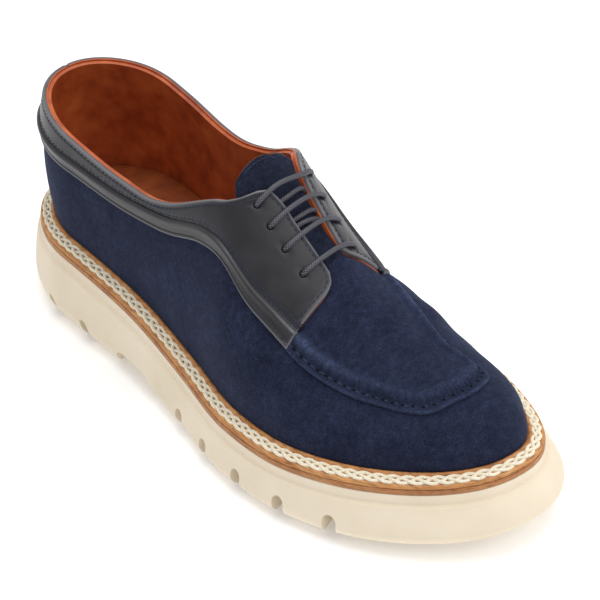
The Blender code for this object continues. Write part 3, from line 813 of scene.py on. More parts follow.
def board(name: str, rows: Sequence[tuple[float, float]]) -> Thing:
    """Board of leather round the last, from rows of offset and rise."""
    return stack_rings(name, [loop_ring(offset, rise) for offset, rise in rows])


# ---- node trees


def add_node(tree: Tree, kind: str, settings: dict[str, Any] | None = None,
             inputs: dict[str | int, Any] | None = None) -> Node:
    """Add a node to a tree.

    Args:
        tree: Tree that gets the node.
        kind: Blender's name for the node.
        settings: Values of its properties.
        inputs: For each input, a socket that is linked to it, a node whose first output is, or
            the value that it is set to.

    Returns:
        The new node.
    """
    node = tree.nodes.new(kind)
    for name, value in (settings or {}).items():
        setattr(node, name, value)
    for name, value in (inputs or {}).items():
        source = value.outputs[0] if isinstance(value, Node) else value
        if isinstance(source, Socket):
            tree.links.new(source, node.inputs[name])
        else:
            node.inputs[name].default_value = source
    return node


def linear(colour: str) -> tuple[float, float, float, float]:
    """Linear colour of an sRGB hex value."""
    shares = [int(colour[i:i + 2], 16) / 255 for i in (1, 3, 5)]
    parts = [c / 12.92 if c <= 0.04045 else ((c + 0.055) / 1.055) ** 2.4 for c in shares]
    return (*parts, 1.0)


# ---- finishes


@dataclass(frozen=True)
class Finish:
    """Surface of one real material."""

    name: str
    slot: str
    colours: tuple[str, ...]
    roughness: float

    def make(self) -> bpy.types.Material:
        """Material of this finish, made once."""
        made = bpy.data.materials.get(self.name)
        if made is None:
            made = bpy.data.materials.new(self.name)
            made.use_nodes = True
            tree = made.node_tree
            tree.nodes.clear()
            shader = add_node(tree, "ShaderNodeBsdfPrincipled", inputs={
                "Roughness": self.roughness, "Base Color": linear(self.colours[0])})
            add_node(tree, "ShaderNodeOutputMaterial", inputs={"Surface": shader})
            self.dress(tree, shader)
        return made

    def dress(self, tree: Tree, shader: Node) -> None:
        """Add the finish's own nodes to its tree."""

    @staticmethod
    def noise(tree: Tree, grain: float, detail: float,
              stretch: Triple = (1.0, 1.0, 1.0)) -> Socket:
        """Noise with grains of a real size.

        Args:
            tree: Tree that gets the nodes.
            grain: Size of a grain in millimetres.
            detail: How many finer layers it has.
            stretch: Scale along each axis, below 1 where the grain is longer.

        Returns:
            The noise's value.
        """
        place = add_node(tree, "ShaderNodeTexCoord")
        mapping = add_node(tree, "ShaderNodeMapping", inputs={
            "Vector": place.outputs["Object"], "Scale": stretch})
        made = add_node(tree, "ShaderNodeTexNoise", inputs={
            "Vector": mapping, "Scale": 1.0 / (grain * MM), "Detail": detail,
            "Roughness": 0.6})
        return made.outputs[0]

    @staticmethod
    def ramp(tree: Tree, value: Socket,
             stops: Sequence[tuple[float, str]]) -> Socket:
        """Colour ramp through sRGB stops."""
        node = add_node(tree, "ShaderNodeValToRGB", inputs={0: value})
        marks = node.color_ramp.elements
        while len(marks) < len(stops):
            marks.new(0.5)
        for mark, (place, colour) in zip(marks, stops):
            mark.position = place
            mark.color = linear(colour)
        return node.outputs[0]

    @staticmethod
    def mix(tree: Tree, share: Any, low: Any, high: Any,
            blend: str = "MIX") -> Socket:
        """Mix of two colours."""
        node = add_node(tree, "ShaderNodeMix", {"data_type": "RGBA", "blend_type": blend},
                        {0: share, 6: low, 7: high})
        return node.outputs[2]

    def shades(self, tree: Tree, value: Socket,
               *places: float) -> Socket:
        """Ramp through the finish's own colours, each at its place."""
        return self.ramp(tree, value, tuple(zip(places, self.colours)))

    def paint(self, tree: Tree, shader: Node, value: Socket, *places: float) -> None:
        """Give the shader the finish's own colours, each at its place."""
        tree.links.new(self.shades(tree, value, *places), shader.inputs["Base Color"])

    def rub(self, tree: Tree, base: Any, wear_and_highlight_colour: str) -> Socket:
        """Mix the paler colour in by the attribute that marks rubbed and cut edges, and painted
        highlight on crests and rims.
        """
        worn = add_node(tree, "ShaderNodeAttribute", {"attribute_name": "worn"})
        return self.mix(tree, worn.outputs["Fac"], base, linear(wear_and_highlight_colour))

    @staticmethod
    def bump(tree: Tree, shader: Node,
             layers: Sequence[tuple[Socket, float, float]]) -> None:
        """Raise the surface by layers of a height, its depth in millimetres and its strength."""
        last = None
        for height, depth, strength in layers:
            inputs = {"Height": height, "Distance": depth * MM, "Strength": strength}
            if last is not None:
                inputs["Normal"] = last
            last = add_node(tree, "ShaderNodeBump", inputs=inputs).outputs[0]
        tree.links.new(last, shader.inputs["Normal"])


@dataclass(frozen=True)
class NappedSuede(Finish):
    """Calf split with a raised nap, dyed through and brushed: no gloss, a dusty sheen at grazing
    angles, and darker and lighter strokes where the nap lies over."""

    grain: float = 0.5
    # Paler colour of the marked places: painted highlight along the apron's ridge, and paler lips
    # at its edge and at the side seam.
    wear_and_highlight_colour: str = "#64749C"

    def dress(self, tree: Tree, shader: Node) -> None:
        """Brushed strokes, cloudy patches and a fine nap. The nap is drawn coarser than real."""
        cloud = self.noise(tree, 16.0, 3.0)
        stroke = self.noise(tree, 2.2, 5.0, (1.0, 0.6, 0.8))
        nap = self.noise(tree, self.grain, 3.0)
        base = self.shades(tree, cloud, 0.22, 0.5, 0.8)
        brushed = self.ramp(tree, stroke, ((0.32, "#868686"), (0.52, "#CCCCCC"), (0.7, "#FFFFFF")))
        # Mixes in the painted highlight on the apron's ridge and the paler lips, where the piece is
        # marked.
        base = self.mix(tree, 0.6, self.rub(tree, base, self.wear_and_highlight_colour), brushed, "MULTIPLY")
        flecks = self.ramp(tree, nap, ((0.34, "#666666"), (0.5, "#BCBCBC"), (0.68, "#FFFFFF")))
        base = self.mix(tree, 0.7, base, flecks, "MULTIPLY")
        tree.links.new(base, shader.inputs["Base Color"])
        shader.inputs["Specular IOR Level"].default_value = 0.1
        shader.inputs["Sheen Weight"].default_value = 0.22
        shader.inputs["Sheen Roughness"].default_value = 0.4
        shader.inputs["Sheen Tint"].default_value = linear("#8A96BC")
        self.bump(tree, shader, ((stroke, 0.4, 0.22), (nap, 0.22, 0.6)))


@dataclass(frozen=True)
class SmoothCalf(Finish):
    """Full-grain calf, dyed charcoal and waxed: fine pores, a soft low sheen, and paler edges that
    are partly cut edge and partly painted highlight.
    """

    pore: float = 0.7
    # Paler colour of the cut edges, which also paints the highlight on the facing's rim and along
    # the strap's roll.
    wear_and_highlight_colour: str = "#7C7C80"

    def dress(self, tree: Tree, shader: Node) -> None:
        """Soft mottling, pores and the wax's uneven gloss."""
        cloud = self.noise(tree, 18.0, 2.0)
        grain = self.noise(tree, self.pore, 3.0)
        # Mixes in the cut edges' paler colour and the painted highlight on the rims and the strap's
        # roll.
        base = self.rub(tree, self.shades(tree, cloud, 0.32, 0.5, 0.72), self.wear_and_highlight_colour)
        tree.links.new(base, shader.inputs["Base Color"])
        gloss = add_node(tree, "ShaderNodeMapRange", inputs={
            "Value": cloud, "From Min": 0.3, "From Max": 0.7,
            "To Min": self.roughness - 0.06, "To Max": self.roughness + 0.08})
        tree.links.new(gloss.outputs[0], shader.inputs["Roughness"])
        shader.inputs["Specular IOR Level"].default_value = 0.45
        self.bump(tree, shader, ((cloud, 0.5, 0.2), (grain, 0.1, 0.35)))


@dataclass(frozen=True)
class VegTan(Finish):
    """Vegetable-tanned sole leather, cut and burnished: warm tan, with long fibres along its cut
    edges and a dry satin top."""

    fibre: float = 0.5

    def dress(self, tree: Tree, shader: Node) -> None:
        """Fibres that lie level, blotches from the tanning, and a fine tooth."""
        fibres = self.noise(tree, self.fibre, 3.0, (0.12, 0.12, 1.0))
        blotch = self.noise(tree, 9.0, 3.0)
        base = self.shades(tree, blotch, 0.28, 0.5, 0.75)
        lines = self.ramp(tree, fibres, ((0.34, "#8C7A6C"), (0.5, "#E0DAD4"), (0.7, "#FFFFFF")))
        base = self.mix(tree, 0.7, base, lines, "MULTIPLY")
        tree.links.new(base, shader.inputs["Base Color"])
        self.bump(tree, shader, ((fibres, 0.15, 0.4),))


@dataclass(frozen=True)
class LiningCalf(Finish):
    """Chrome-free lining calf, aniline dyed: warm orange tan, smooth, with faint creases."""

    def dress(self, tree: Tree, shader: Node) -> None:
        """Cloudy dye and small wrinkles."""
        cloud = self.noise(tree, 12.0, 2.0)
        wrinkle = self.noise(tree, 1.6, 3.0)
        self.paint(tree, shader, cloud, 0.3, 0.5, 0.74)
        self.bump(tree, shader, ((wrinkle, 0.12, 0.3),))


@dataclass(frozen=True)
class SpunThread(Finish):
    """Twisted thread or cord: matt fibres with shadow between the plies."""

    ply: float = 0.45

    def dress(self, tree: Tree, shader: Node) -> None:
        """Fine fibres and uneven dye; the darker places of the ramp also paint the shade between
        the plies.
        """
        fibre = self.noise(tree, self.ply, 2.0)
        self.paint(tree, shader, fibre, 0.34, 0.62)
        shader.inputs["Specular IOR Level"].default_value = 0.25
        self.bump(tree, shader, ((fibre, 0.12, 0.5),))


@dataclass(frozen=True)
class WaxedCord(Finish):
    """Round braided cotton lace, waxed: small diamond plaits with a dull shine on their tops."""

    plait: float = 1.2

    def dress(self, tree: Tree, shader: Node) -> None:
        """Two crossing waves along the lace's own map, which make the diamonds of the braid,
        painted paler on their tops as highlight and darker in the grooves as shade.
        """
        place = add_node(tree, "ShaderNodeTexCoord")
        waves = []
        for lean in (1.0, -1.0):
            mapping = add_node(tree, "ShaderNodeMapping", inputs={
                "Vector": place.outputs["UV"], "Scale": (1.0 / (self.plait * MM), lean * 5.0, 1.0)})
            wave = add_node(tree, "ShaderNodeTexWave", {"bands_direction": "DIAGONAL"}, {
                "Vector": mapping, "Scale": 0.2 * math.pi, "Distortion": 0.0})
            waves.append(wave.outputs["Fac"])
        plaits = add_node(tree, "ShaderNodeMath", {"operation": "MAXIMUM"},
                          {0: waves[0], 1: waves[1]}).outputs[0]
        # Painted highlight on the plaits' tops and painted shade in the grooves between them.
        self.paint(tree, shader, plaits, 0.3, 0.8, 1.0)
        self.bump(tree, shader, ((plaits, 0.12, 0.5),))


@dataclass(frozen=True)
class MouldedRubber(Finish):
    """Blown rubber from a mould: matt cream with a faint eggshell texture."""

    def dress(self, tree: Tree, shader: Node) -> None:
        """Slight clouding and the mould's fine texture."""
        cloud = self.noise(tree, 30.0, 2.0)
        shell = self.noise(tree, 0.9, 2.0)
        self.paint(tree, shader, cloud, 0.3, 0.5, 0.72)
        shader.inputs["Specular IOR Level"].default_value = 0.35
        self.bump(tree, shader, ((shell, 0.06, 0.25),))


SUEDE = NappedSuede("brushed_navy_suede", "navy_suede", ("#272E47", "#313853", "#3A425F"), 0.95)
# Darker and greyer than the main suede: painted shade where the tongue lies down in the throat; its
# paler colour is the tongue's real tan cut edge.
CUT_SUEDE = NappedSuede("tan_edged_suede", "navy_suede", ("#252A3C", "#2E3348", "#383E54"), 0.95,
                        wear_and_highlight_colour="#A8693C")
CALF = SmoothCalf("waxed_charcoal_calf", "smooth_leather", ("#19191E", "#1F1F24", "#27262C"), 0.38)
WELT_TAN = VegTan("veg_tan_welt", "tan_leather", ("#B87638", "#CC8E50", "#DBA468"), 0.5)
EDGE_TAN = VegTan("burnished_cut_edge", "tan_leather", ("#A4693C", "#BA7D48", "#CB9258"), 0.55)
LINING = LiningCalf("aniline_lining", "lining_leather", ("#8E3C18", "#AC5024", "#C06430"), 0.5)
SOCK = LiningCalf("burnished_sock_leather", "lining_leather", ("#6E2E10", "#84401A", "#9A5024"),
                  0.5)
BRAID = SpunThread("plaited_cotton", "braid_cord", ("#D8C8A6", "#F6F0E0"), 0.85)
LACE = WaxedCord("waxed_braided_lace", "waxed_lace", ("#222228", "#383840", "#5A5A64"), 0.5)
NAVY_THREAD = SpunThread("bonded_navy_thread", "navy_suede", ("#161B2C", "#323A54"), 0.6)
PALE_THREAD = SpunThread("bonded_slate_thread", "navy_suede", ("#1E253A", "#3A4462"), 0.6)
# Near-black marks that paint the shade inside the apron's stitch holes.
HOLE_SHADOW = SpunThread("punched_hole_shadow", "navy_suede", ("#05060A", "#0A0C14"), 1.0)
RUBBER = MouldedRubber("moulded_cream_rubber", "cream_rubber", ("#E3D5BD", "#E8DAC3", "#ECDFCA"),
                       0.62)


def dress(thing: Thing, finish: Finish, *nodes: str) -> Thing:
    """Give a piece its finish, and fix it to the shoe.

    Args:
        thing: The piece.
        finish: Its finish.
        nodes: Solids that the piece stands for.

    Returns:
        The same piece.
    """
    thing.data.materials.clear()
    thing.data.materials.append(finish.make())
    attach(thing, "root")
    if nodes:
        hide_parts(*nodes)
    LOG.info("%s: %d faces", thing.name, len(thing.data.polygons))
    return thing


# ---- repeats along a path


@dataclass
class Path:
    """A line on the shoe with the way out of the surface at each point."""

    points: Array
    facing: Array

    def mesh_object(self, name: str, closed: bool = False) -> Thing:
        """Mesh of the line's edges, which carries the way out as an attribute.

        Args:
            name: Name of the piece.
            closed: Whether the line runs back to its start.

        Returns:
            The new object.
        """
        mesh = bpy.data.meshes.new(name)
        count = len(self.points)
        edges = [(i, i + 1) for i in range(count - 1)] + ([(count - 1, 0)] if closed else [])
        mesh.from_pydata((self.points * MM).tolist(), edges, [])
        held = mesh.attributes.new("facing", "FLOAT_VECTOR", "POINT")
        held.data.foreach_set("vector", np.asarray(self.facing, float).reshape(-1))
        return new_object(name, mesh)


TIMES = {"operation": "MULTIPLY"}


class TreeBuilder:
    """Geometry Nodes tree with named inputs, applied to a path."""

    name = "tree"
    sizes: dict[str, tuple[str, Any]] = {}

    def tree(self) -> Tree:
        """The tree, built once."""
        made = bpy.data.node_groups.get(self.name)
        if made is None:
            made = bpy.data.node_groups.new(self.name, "GeometryNodeTree")
            face = made.interface
            face.new_socket("Geometry", in_out="OUTPUT", socket_type="NodeSocketGeometry")
            face.new_socket("Geometry", in_out="INPUT", socket_type="NodeSocketGeometry")
            for label, (kind, value) in self.sizes.items():
                socket = face.new_socket(label, in_out="INPUT", socket_type=kind)
                if value is not None:
                    socket.default_value = value
            given = add_node(made, "NodeGroupInput").outputs
            curve = add_node(made, "GeometryNodeMeshToCurve", inputs={"Mesh": given["Geometry"]})
            facing = add_node(made, "GeometryNodeInputNamedAttribute",
                              {"data_type": "FLOAT_VECTOR"}, {"Name": "facing"})
            shape = self.build(made, given, curve, facing)
            real = add_node(made, "GeometryNodeRealizeInstances", inputs={0: shape})
            done = add_node(made, "GeometryNodeSetMaterial", inputs={
                "Geometry": real, "Material": given["Finish"]})
            add_node(made, "NodeGroupOutput", inputs={"Geometry": done})
        return made

    def build(self, tree: Tree, given: Any, curve: Node, facing: Node) -> Node:
        """Add the nodes that set the repeats along the curve.

        Args:
            tree: Tree that gets the nodes.
            given: The tree's inputs, by name.
            curve: The path as a curve.
            facing: The way out of the surface along it.

        Returns:
            The node that gives the repeats.
        """
        raise NotImplementedError

    def apply(self, path: Thing, **values: Any) -> Thing:
        """Run the tree on a path object and keep the result as its plain mesh.

        Args:
            path: Object whose mesh is the path.
            values: Inputs by name, with underscores for spaces.

        Returns:
            The same object.
        """
        tree = self.tree()
        sockets = {item.name: item.identifier for item in tree.interface.items_tree
                   if item.in_out == "INPUT"}
        modifier = path.modifiers.new(self.name, "NODES")
        modifier.node_group = tree
        for label, value in values.items():
            modifier[sockets[label.replace("_", " ")]] = value
        settle(path)
        path.data.shade_smooth()
        return path


class StitchRow(TreeBuilder):
    """Small arched stitches, set end to end along a path."""

    name = "stitch_row"
    sizes = {"Pitch": ("NodeSocketFloat", 3.0), "Length": ("NodeSocketFloat", 2.2),
             "Radius": ("NodeSocketFloat", 0.3), "Rise": ("NodeSocketFloat", 0.4),
             "Lean": ("NodeSocketFloat", 0.1), "Seed": ("NodeSocketInt", 7),
             "Finish": ("NodeSocketMaterial", None)}

    def build(self, tree: Tree, given: Any, curve: Node, facing: Node) -> Node:
        """A bent thread on each point of the path, leaning a little either way."""
        spots = add_node(tree, "GeometryNodeCurveToPoints", {"mode": "LENGTH"}, {
            "Curve": curve, "Length": given["Pitch"]})
        turn = add_node(tree, "FunctionNodeAxesToRotation",
                        {"primary_axis": "Z", "secondary_axis": "X"},
                        {"Primary Axis": facing, "Secondary Axis": spots.outputs["Tangent"]})
        half, back, sink, lift, low = (
            add_node(tree, "ShaderNodeMath", TIMES, {0: given[size], 1: share})
            for size, share in (("Length", 0.5), ("Length", -0.5), ("Rise", -1.0), ("Rise", 1.6),
                                ("Lean", -1.0)))
        start, top, end = (
            add_node(tree, "ShaderNodeCombineXYZ", inputs={"X": x, "Z": z})
            for x, z in ((back, sink), (0.0, lift), (half, sink)))
        arch = add_node(tree, "GeometryNodeCurveQuadraticBezier", inputs={
            "Resolution": 5, "Start": start, "Middle": top, "End": end})
        ring = add_node(tree, "GeometryNodeCurvePrimitiveCircle", inputs={
            "Resolution": 6, "Radius": given["Radius"]})
        thread = add_node(tree, "GeometryNodeCurveToMesh", inputs={
            "Curve": arch, "Profile Curve": ring, "Fill Caps": True})
        swing = add_node(tree, "FunctionNodeRandomValue", {"data_type": "FLOAT"}, {
            "Min": low, "Max": given["Lean"], "Seed": given["Seed"]})
        lean = add_node(tree, "ShaderNodeCombineXYZ", inputs={"Z": swing.outputs[1]})
        to_turn = add_node(tree, "FunctionNodeEulerToRotation", inputs={0: lean})
        turned = add_node(tree, "FunctionNodeRotateRotation", {"rotation_space": "LOCAL"}, {
            "Rotation": turn, "Rotate By": to_turn})
        return add_node(tree, "GeometryNodeInstanceOnPoints", inputs={
            "Points": spots.outputs["Points"], "Instance": thread, "Rotation": turned})


class PlaitedCord(TreeBuilder):
    """Flat plait of three strands that cross each other along a closed path."""

    name = "plaited_cord"
    sizes = {"Turns": ("NodeSocketInt", 90), "Swing": ("NodeSocketFloat", 1.5),
             "Lift": ("NodeSocketFloat", 0.4), "Strand Radius": ("NodeSocketFloat", 0.8),
             "Step": ("NodeSocketFloat", 0.6), "Finish": ("NodeSocketMaterial", None)}

    def build(self, tree: Tree, given: Any, curve: Node, facing: Node) -> Node:
        """Each strand swings from edge to edge and dives under at every crossing."""
        fine = add_node(tree, "GeometryNodeResampleCurve", {"mode": "LENGTH"}, {
            "Curve": curve, "Length": given["Step"]})
        tangent = add_node(tree, "GeometryNodeInputTangent")
        across = add_node(tree, "ShaderNodeVectorMath", {"operation": "CROSS_PRODUCT"},
                          {0: tangent, 1: facing})
        along = add_node(tree, "GeometryNodeSplineParameter")
        rounds = add_node(tree, "ShaderNodeMath", TIMES,
                          {0: along.outputs["Factor"], 1: given["Turns"]})
        angle = add_node(tree, "ShaderNodeMath", TIMES, {0: rounds, 1: 2 * math.pi})
        profile = add_node(tree, "GeometryNodeCurvePrimitiveCircle", inputs={
            "Resolution": 7, "Radius": given["Strand Radius"]})
        joined = add_node(tree, "GeometryNodeJoinGeometry")
        for strand in range(3):
            turn = add_node(tree, "ShaderNodeMath", {"operation": "ADD"},
                            {0: angle, 1: strand * 2 * math.pi / 3})
            double = add_node(tree, "ShaderNodeMath", TIMES, {0: turn, 1: 2.0})
            parts = []
            for source, size, way in ((turn, "Swing", across), (double, "Lift", facing)):
                sine = add_node(tree, "ShaderNodeMath", {"operation": "SINE"}, {0: source})
                reach = add_node(tree, "ShaderNodeMath", TIMES, {0: sine, 1: given[size]})
                parts.append(add_node(tree, "ShaderNodeVectorMath", {"operation": "SCALE"},
                                      {0: way, "Scale": reach}))
            both = add_node(tree, "ShaderNodeVectorMath", {"operation": "ADD"},
                            {0: parts[0], 1: parts[1]})
            moved = add_node(tree, "GeometryNodeSetPosition", inputs={
                "Geometry": fine, "Offset": both})
            tube = add_node(tree, "GeometryNodeCurveToMesh", inputs={
                "Curve": moved, "Profile Curve": profile})
            tree.links.new(tube.outputs[0], joined.inputs[0])
        return joined


# ---- sole


class SoleRing(NamedTuple):
    """One loop of the rubber's wall: its share of the way up to the step, or drop from the top."""

    margin: float
    flare: float
    height: float


class Lip(NamedTuple):
    """One point of a notch's flared lip: how far it opens, and its height."""

    opening: float
    height: float


class Notches(NamedTuple):
    """Places of the notches between lugs in one run along a side."""

    side: Side
    xs: tuple[float, ...]


SOLE_RINGS = table(
    SoleRing, (0.2, 1.4, 0.0), (2.0, 1.8, 0.08), (3.9, 2.7, 0.21), (5.0, 3.1, 0.36),
    (4.6, 2.5, 0.56), (3.4, 1.4, 0.82))
BAND_RINGS = table(
    SoleRing, (2.2, 0.3, 5.72), (2.05, 0.0, 5.45), (1.75, 0.0, 5.25), (1.1, 0.0, 5.05),
    (0.65, 0.0, 4.8), (0.4, 0.0, 4.35), (0.3, 0.0, 3.6), (0.24, 0.0, 1.6), (0.22, 0.0, 0.5),
    (0.05, 0.0, 0.12), (-0.25, 0.0, 0.0), (-3.0, 0.0, 0.0))
NOTCH_LIPS = table(
    Lip, (2.4, -2.0), (1.5, 0.0), (0.7, 1.0), (0.2, 2.2), (0.0, 3.6))
NOTCHES = table(
    Notches, (Side.LATERAL, (93.5, 71.0, 48.0, 25.0, 2.0)),
    (Side.MEDIAL, (124.7, 97.2, 70.0, 43.0, 16.0, -10.0)),
    (Side.LATERAL, (-82.0, -107.0)), (Side.MEDIAL, (-82.0, -107.0)))


@dataclass
class Sole:
    """Moulded rubber sole with a lipped top band, flared lugs and an arch before the heel."""

    leather_height: float = 6.7
    leather_margin: float = 7.4
    step_depth: float = 5.8
    step_margin: float = 2.2
    step_flare: float = 0.3
    notch_width: float = 6.0
    notch_height: float = 12.4
    notch_flare: float = 2.1
    notch_reaches: Triple = (-15.0, 12.5, 24.0)
    arch_rear: float = -60.0
    arch_front: float = -26.0
    arch_height: float = 11.0
    arch_slope: float = 7.0
    arch_corner: float = 3.0
    arch_reach: float = 80.0
    below: float = -2.0
    wall_steps: int = 26
    crowding: float = 0.35

    def wall(self) -> list[tuple[Array, Array]]:
        """Fine loops of the wall, from the tread to the top."""
        margins, flares, shares = (np.array(column) for column in zip(*SOLE_RINGS))
        even = np.linspace(0, 1, self.wall_steps)
        rings = []
        for share in ease(even) * self.crowding + even * (1 - self.crowding):
            place = min(float(share), 0.999)
            if place > shares[-1]:
                blend = (place - shares[-1]) / (1 - shares[-1])
                margin = margins[-1] + (self.step_margin - margins[-1]) * blend
                flare = flares[-1] + (self.step_flare - flares[-1]) * blend
            else:
                margin, flare = (float(through(shares, column, np.array([place]))[0])
                                 for column in (margins, flares))
            rings.append(self.loop(margin, flare, share=place))
        return rings + [self.loop(*ring) for ring in BAND_RINGS]

    def loop(self, margin: float, flare: float, drop: float | None = None, share: float = 0.0
             ) -> tuple[Array, Array]:
        """One loop of the wall with its height.

        Args:
            margin: How far the loop stands out past the leather.
            flare: How much further it stands out round the toe.
            drop: How far it lies below the rubber's top.
            share: Share of the way up to the step, where no drop is given.

        Returns:
            Plan points and heights.
        """
        loop = LAST.outline(self.leather_margin + margin, flare)
        top = LAST.feather_z(loop[:, 0]) - self.leather_height
        if drop is not None:
            return loop, top - drop
        low = LAST.floor_z(loop[:, 0])
        return loop, low + share * (top - self.step_depth - low)

    def notch_profile(self) -> list[tuple[float, float]]:
        """Slot open below, with a round top and softly flared lips."""
        half = self.notch_width / 2
        base = self.notch_height - half
        lip = [(-half - lip.opening, lip.height) for lip in NOTCH_LIPS]
        arc = [(half * math.cos(a), base + half * math.sin(a))
               for a in np.linspace(math.pi, 0, 11)]
        return lip + arc + [(-w, h) for w, h in reversed(lip)]

    def notch_cutter(self, side: int, x: float) -> Thing:
        """Slot square to the sole's edge, which widens outwards."""
        t = LAST.station_at(x)
        (x0, y0), (x1, y1) = LAST.feather(side, t - 0.01), LAST.feather(side, t + 0.01)
        out = unit(np.array([y1 - y0, x0 - x1, 0.0])) * -side
        across = np.array([-out[1], out[0], 0.0])
        x, y = LAST.feather(side, t)
        origin = np.array([x, y, LAST.floor_z(x + out[0] * self.leather_margin)])
        profile = self.notch_profile()
        count = len(profile)
        points, faces = [], []
        for reach, flare in zip(self.notch_reaches, (1.0, 1.0, self.notch_flare)):
            points += [origin + out * reach + across * w * flare + np.array([0, 0, h])
                       for w, h in profile]
        for start in (0, count):
            faces += band_faces(start, count)
        faces += [tuple(range(count)), tuple(range(2 * count, 3 * count))]
        cutter = add_object("notch", np.array(points) + np.array(LAST.shift), faces)
        finish_mesh(cutter)
        return cutter

    def arch_cutter(self) -> Thing:
        """Block that leaves the arch between heel block and forefoot, with round corners."""
        slope, corner = self.arch_slope, self.arch_corner
        rear, front, high = self.arch_rear, self.arch_front, self.arch_height
        profile = [(rear - 1.0, self.below)]
        turn = np.linspace(0, 1, 6)
        for a, b, c in (((rear + slope - corner, high - corner), (rear + slope - corner / 2, high),
                         (rear + slope + corner, high)),
                        ((front - slope - corner, high), (front - slope + corner / 2, high),
                         (front - slope + corner, high - corner))):
            profile += [tuple((1 - u) ** 2 * np.array(a) + 2 * u * (1 - u) * np.array(b)
                              + u * u * np.array(c)) for u in turn]
        profile.append((front + 1.0, self.below))
        count = len(profile)
        points = np.array([(x, y, z) for y in (-self.arch_reach, self.arch_reach)
                           for x, z in profile])
        faces = [tuple(range(count)), tuple(reversed(range(count, 2 * count)))]
        faces += band_faces(0, count)
        cutter = add_object("arch", points + np.array(LAST.shift), faces)
        finish_mesh(cutter)
        return cutter

    def build(self) -> None:
        """Stack the wall and cut the arch and the notches out of it."""
        sole = stack_rings("rubber_sole", self.wall())
        cut(sole, [self.arch_cutter()] + [self.notch_cutter(run.side.value, x)
                                          for run in NOTCHES for x in run.xs])
        finish_mesh(sole, 32.0)
        dress(sole, RUBBER, "outsole")


@dataclass
class WeltWork:
    """Leather midsole, storm welt and the plaited cord that is sewn down on it."""

    height: float = 6.7
    margin: float = 7.4
    split: float = -4.0
    braid_offset: float = 3.65
    braid_rise: float = -1.45
    braid_turn: float = 18.5
    braid_tilt: float = 0.18
    braid_swing: float = 1.65
    braid_lift: float = 0.36
    strand_radius: float = 0.86
    strand_step: float = 0.8

    def build(self) -> None:
        """Add the three pieces."""
        low, high, edge = -self.height + 0.05, self.split, self.margin
        midsole = board("midsole_layer", (
            (edge - 3.0, low), (edge - 0.3, low), (edge - 0.05, low + 0.25), (edge, low + 0.6),
            (edge, high - 0.5), (edge - 0.15, high - 0.2), (edge - 0.5, high),
            (edge - 3.0, high + 0.05)))
        dress(midsole, EDGE_TAN, "midsole")
        welt = board("storm_welt", (
            (edge - 3.0, high), (edge - 0.65, high + 0.02), (edge - 0.35, high + 0.25),
            (edge - 0.25, high + 0.6), (edge - 0.3, high + 1.0), (edge - 0.5, high + 1.4),
            (edge - 0.85, high + 1.7), (edge - 1.4, high + 1.85), (5.2, -2.05), (4.4, -1.95),
            (3.4, -1.8), (2.6, -1.45), (2.15, -1.0), (1.85, -0.3), (1.55, 0.15), (1.15, 0.42),
            (0.7, 0.45), (0.3, 0.25), (-0.6, -0.3)))
        dress(welt, WELT_TAN, "welt")
        self.build_braid()

    def build_braid(self) -> None:
        """Plait the cord along the welt's own line."""
        loop, height = loop_ring(self.braid_offset, self.braid_rise)
        points = np.column_stack([loop, height]) + np.array(LAST.shift)
        run = unit(np.roll(points, -1, 0) - np.roll(points, 1, 0))
        across = unit(np.column_stack([run[:, 1], -run[:, 0], np.zeros(len(run))]))
        facing = unit(np.cross(across, run) + across * self.braid_tilt)
        length = np.linalg.norm(np.roll(points, -1, 0) - points, axis=1).sum()
        path = Path(points, facing).mesh_object("plaited_welt_cord", closed=True)
        cord = PlaitedCord().apply(
            path, Turns=int(round(length / self.braid_turn)), Swing=self.braid_swing * MM,
            Lift=self.braid_lift * MM, Strand_Radius=self.strand_radius * MM,
            Step=self.strand_step * MM, Finish=BRAID.make())
        dress(cord, BRAID, "welt_braid")


@dataclass
class Insole:
    """Leather sock that lies on the insole inside."""

    margin: float = -2.4

    def build(self) -> None:
        """Add the sock, turned down at its edge."""
        edge = self.margin
        sock = board("leather_sock", (
            (edge - 2.0, 0.0), (edge, 0.0), (edge, 1.4), (edge - 0.3, 1.9), (edge - 0.9, 2.2),
            (edge - 6.0, 2.3)))
        dress(sock, SOCK, "insole")


# ---- upper


class Crease(NamedTuple):
    """A trough, ridge or seam across the leather, from one place to another."""

    side: Side
    x0: float
    s0: float
    x1: float
    s1: float
    width: float
    depth: float


CREASES = table(
    Crease,
    (Side.LATERAL, 66.0, 0.45, 58.0, 0.16, 5.0, -0.45),
    (Side.LATERAL, 74.0, 0.46, 69.0, 0.20, 6.0, 0.35),
    (Side.LATERAL, 82.0, 0.47, 80.0, 0.24, 6.0, -0.35),
    (Side.MEDIAL, 62.0, 0.46, 52.0, 0.14, 5.0, -0.5),
    (Side.MEDIAL, 72.0, 0.47, 66.0, 0.20, 6.0, 0.4),
    (Side.MEDIAL, 83.0, 0.48, 79.0, 0.24, 6.0, -0.4),
    (Side.MEDIAL, 40.0, 0.34, 132.0, 0.20, 13.0, 2.7),
    (Side.MEDIAL, 34.0, 0.37, 92.0, 0.18, 10.0, 1.1),
    (Side.MEDIAL, 27.0, 0.52, 16.0, -0.02, 0.55, -0.8),
    (Side.MEDIAL, 25.6, 0.52, 14.6, -0.02, 0.8, 0.6),
    (Side.LATERAL, 30.0, 0.42, 8.0, 0.22, 7.0, -0.35),
    (Side.MEDIAL, 28.0, 0.42, 6.0, 0.22, 7.0, -0.35),
    (Side.LATERAL, -96.0, 0.22, -70.0, 0.10, 8.0, -0.3),
    (Side.MEDIAL, -96.0, 0.22, -70.0, 0.10, 8.0, -0.3))


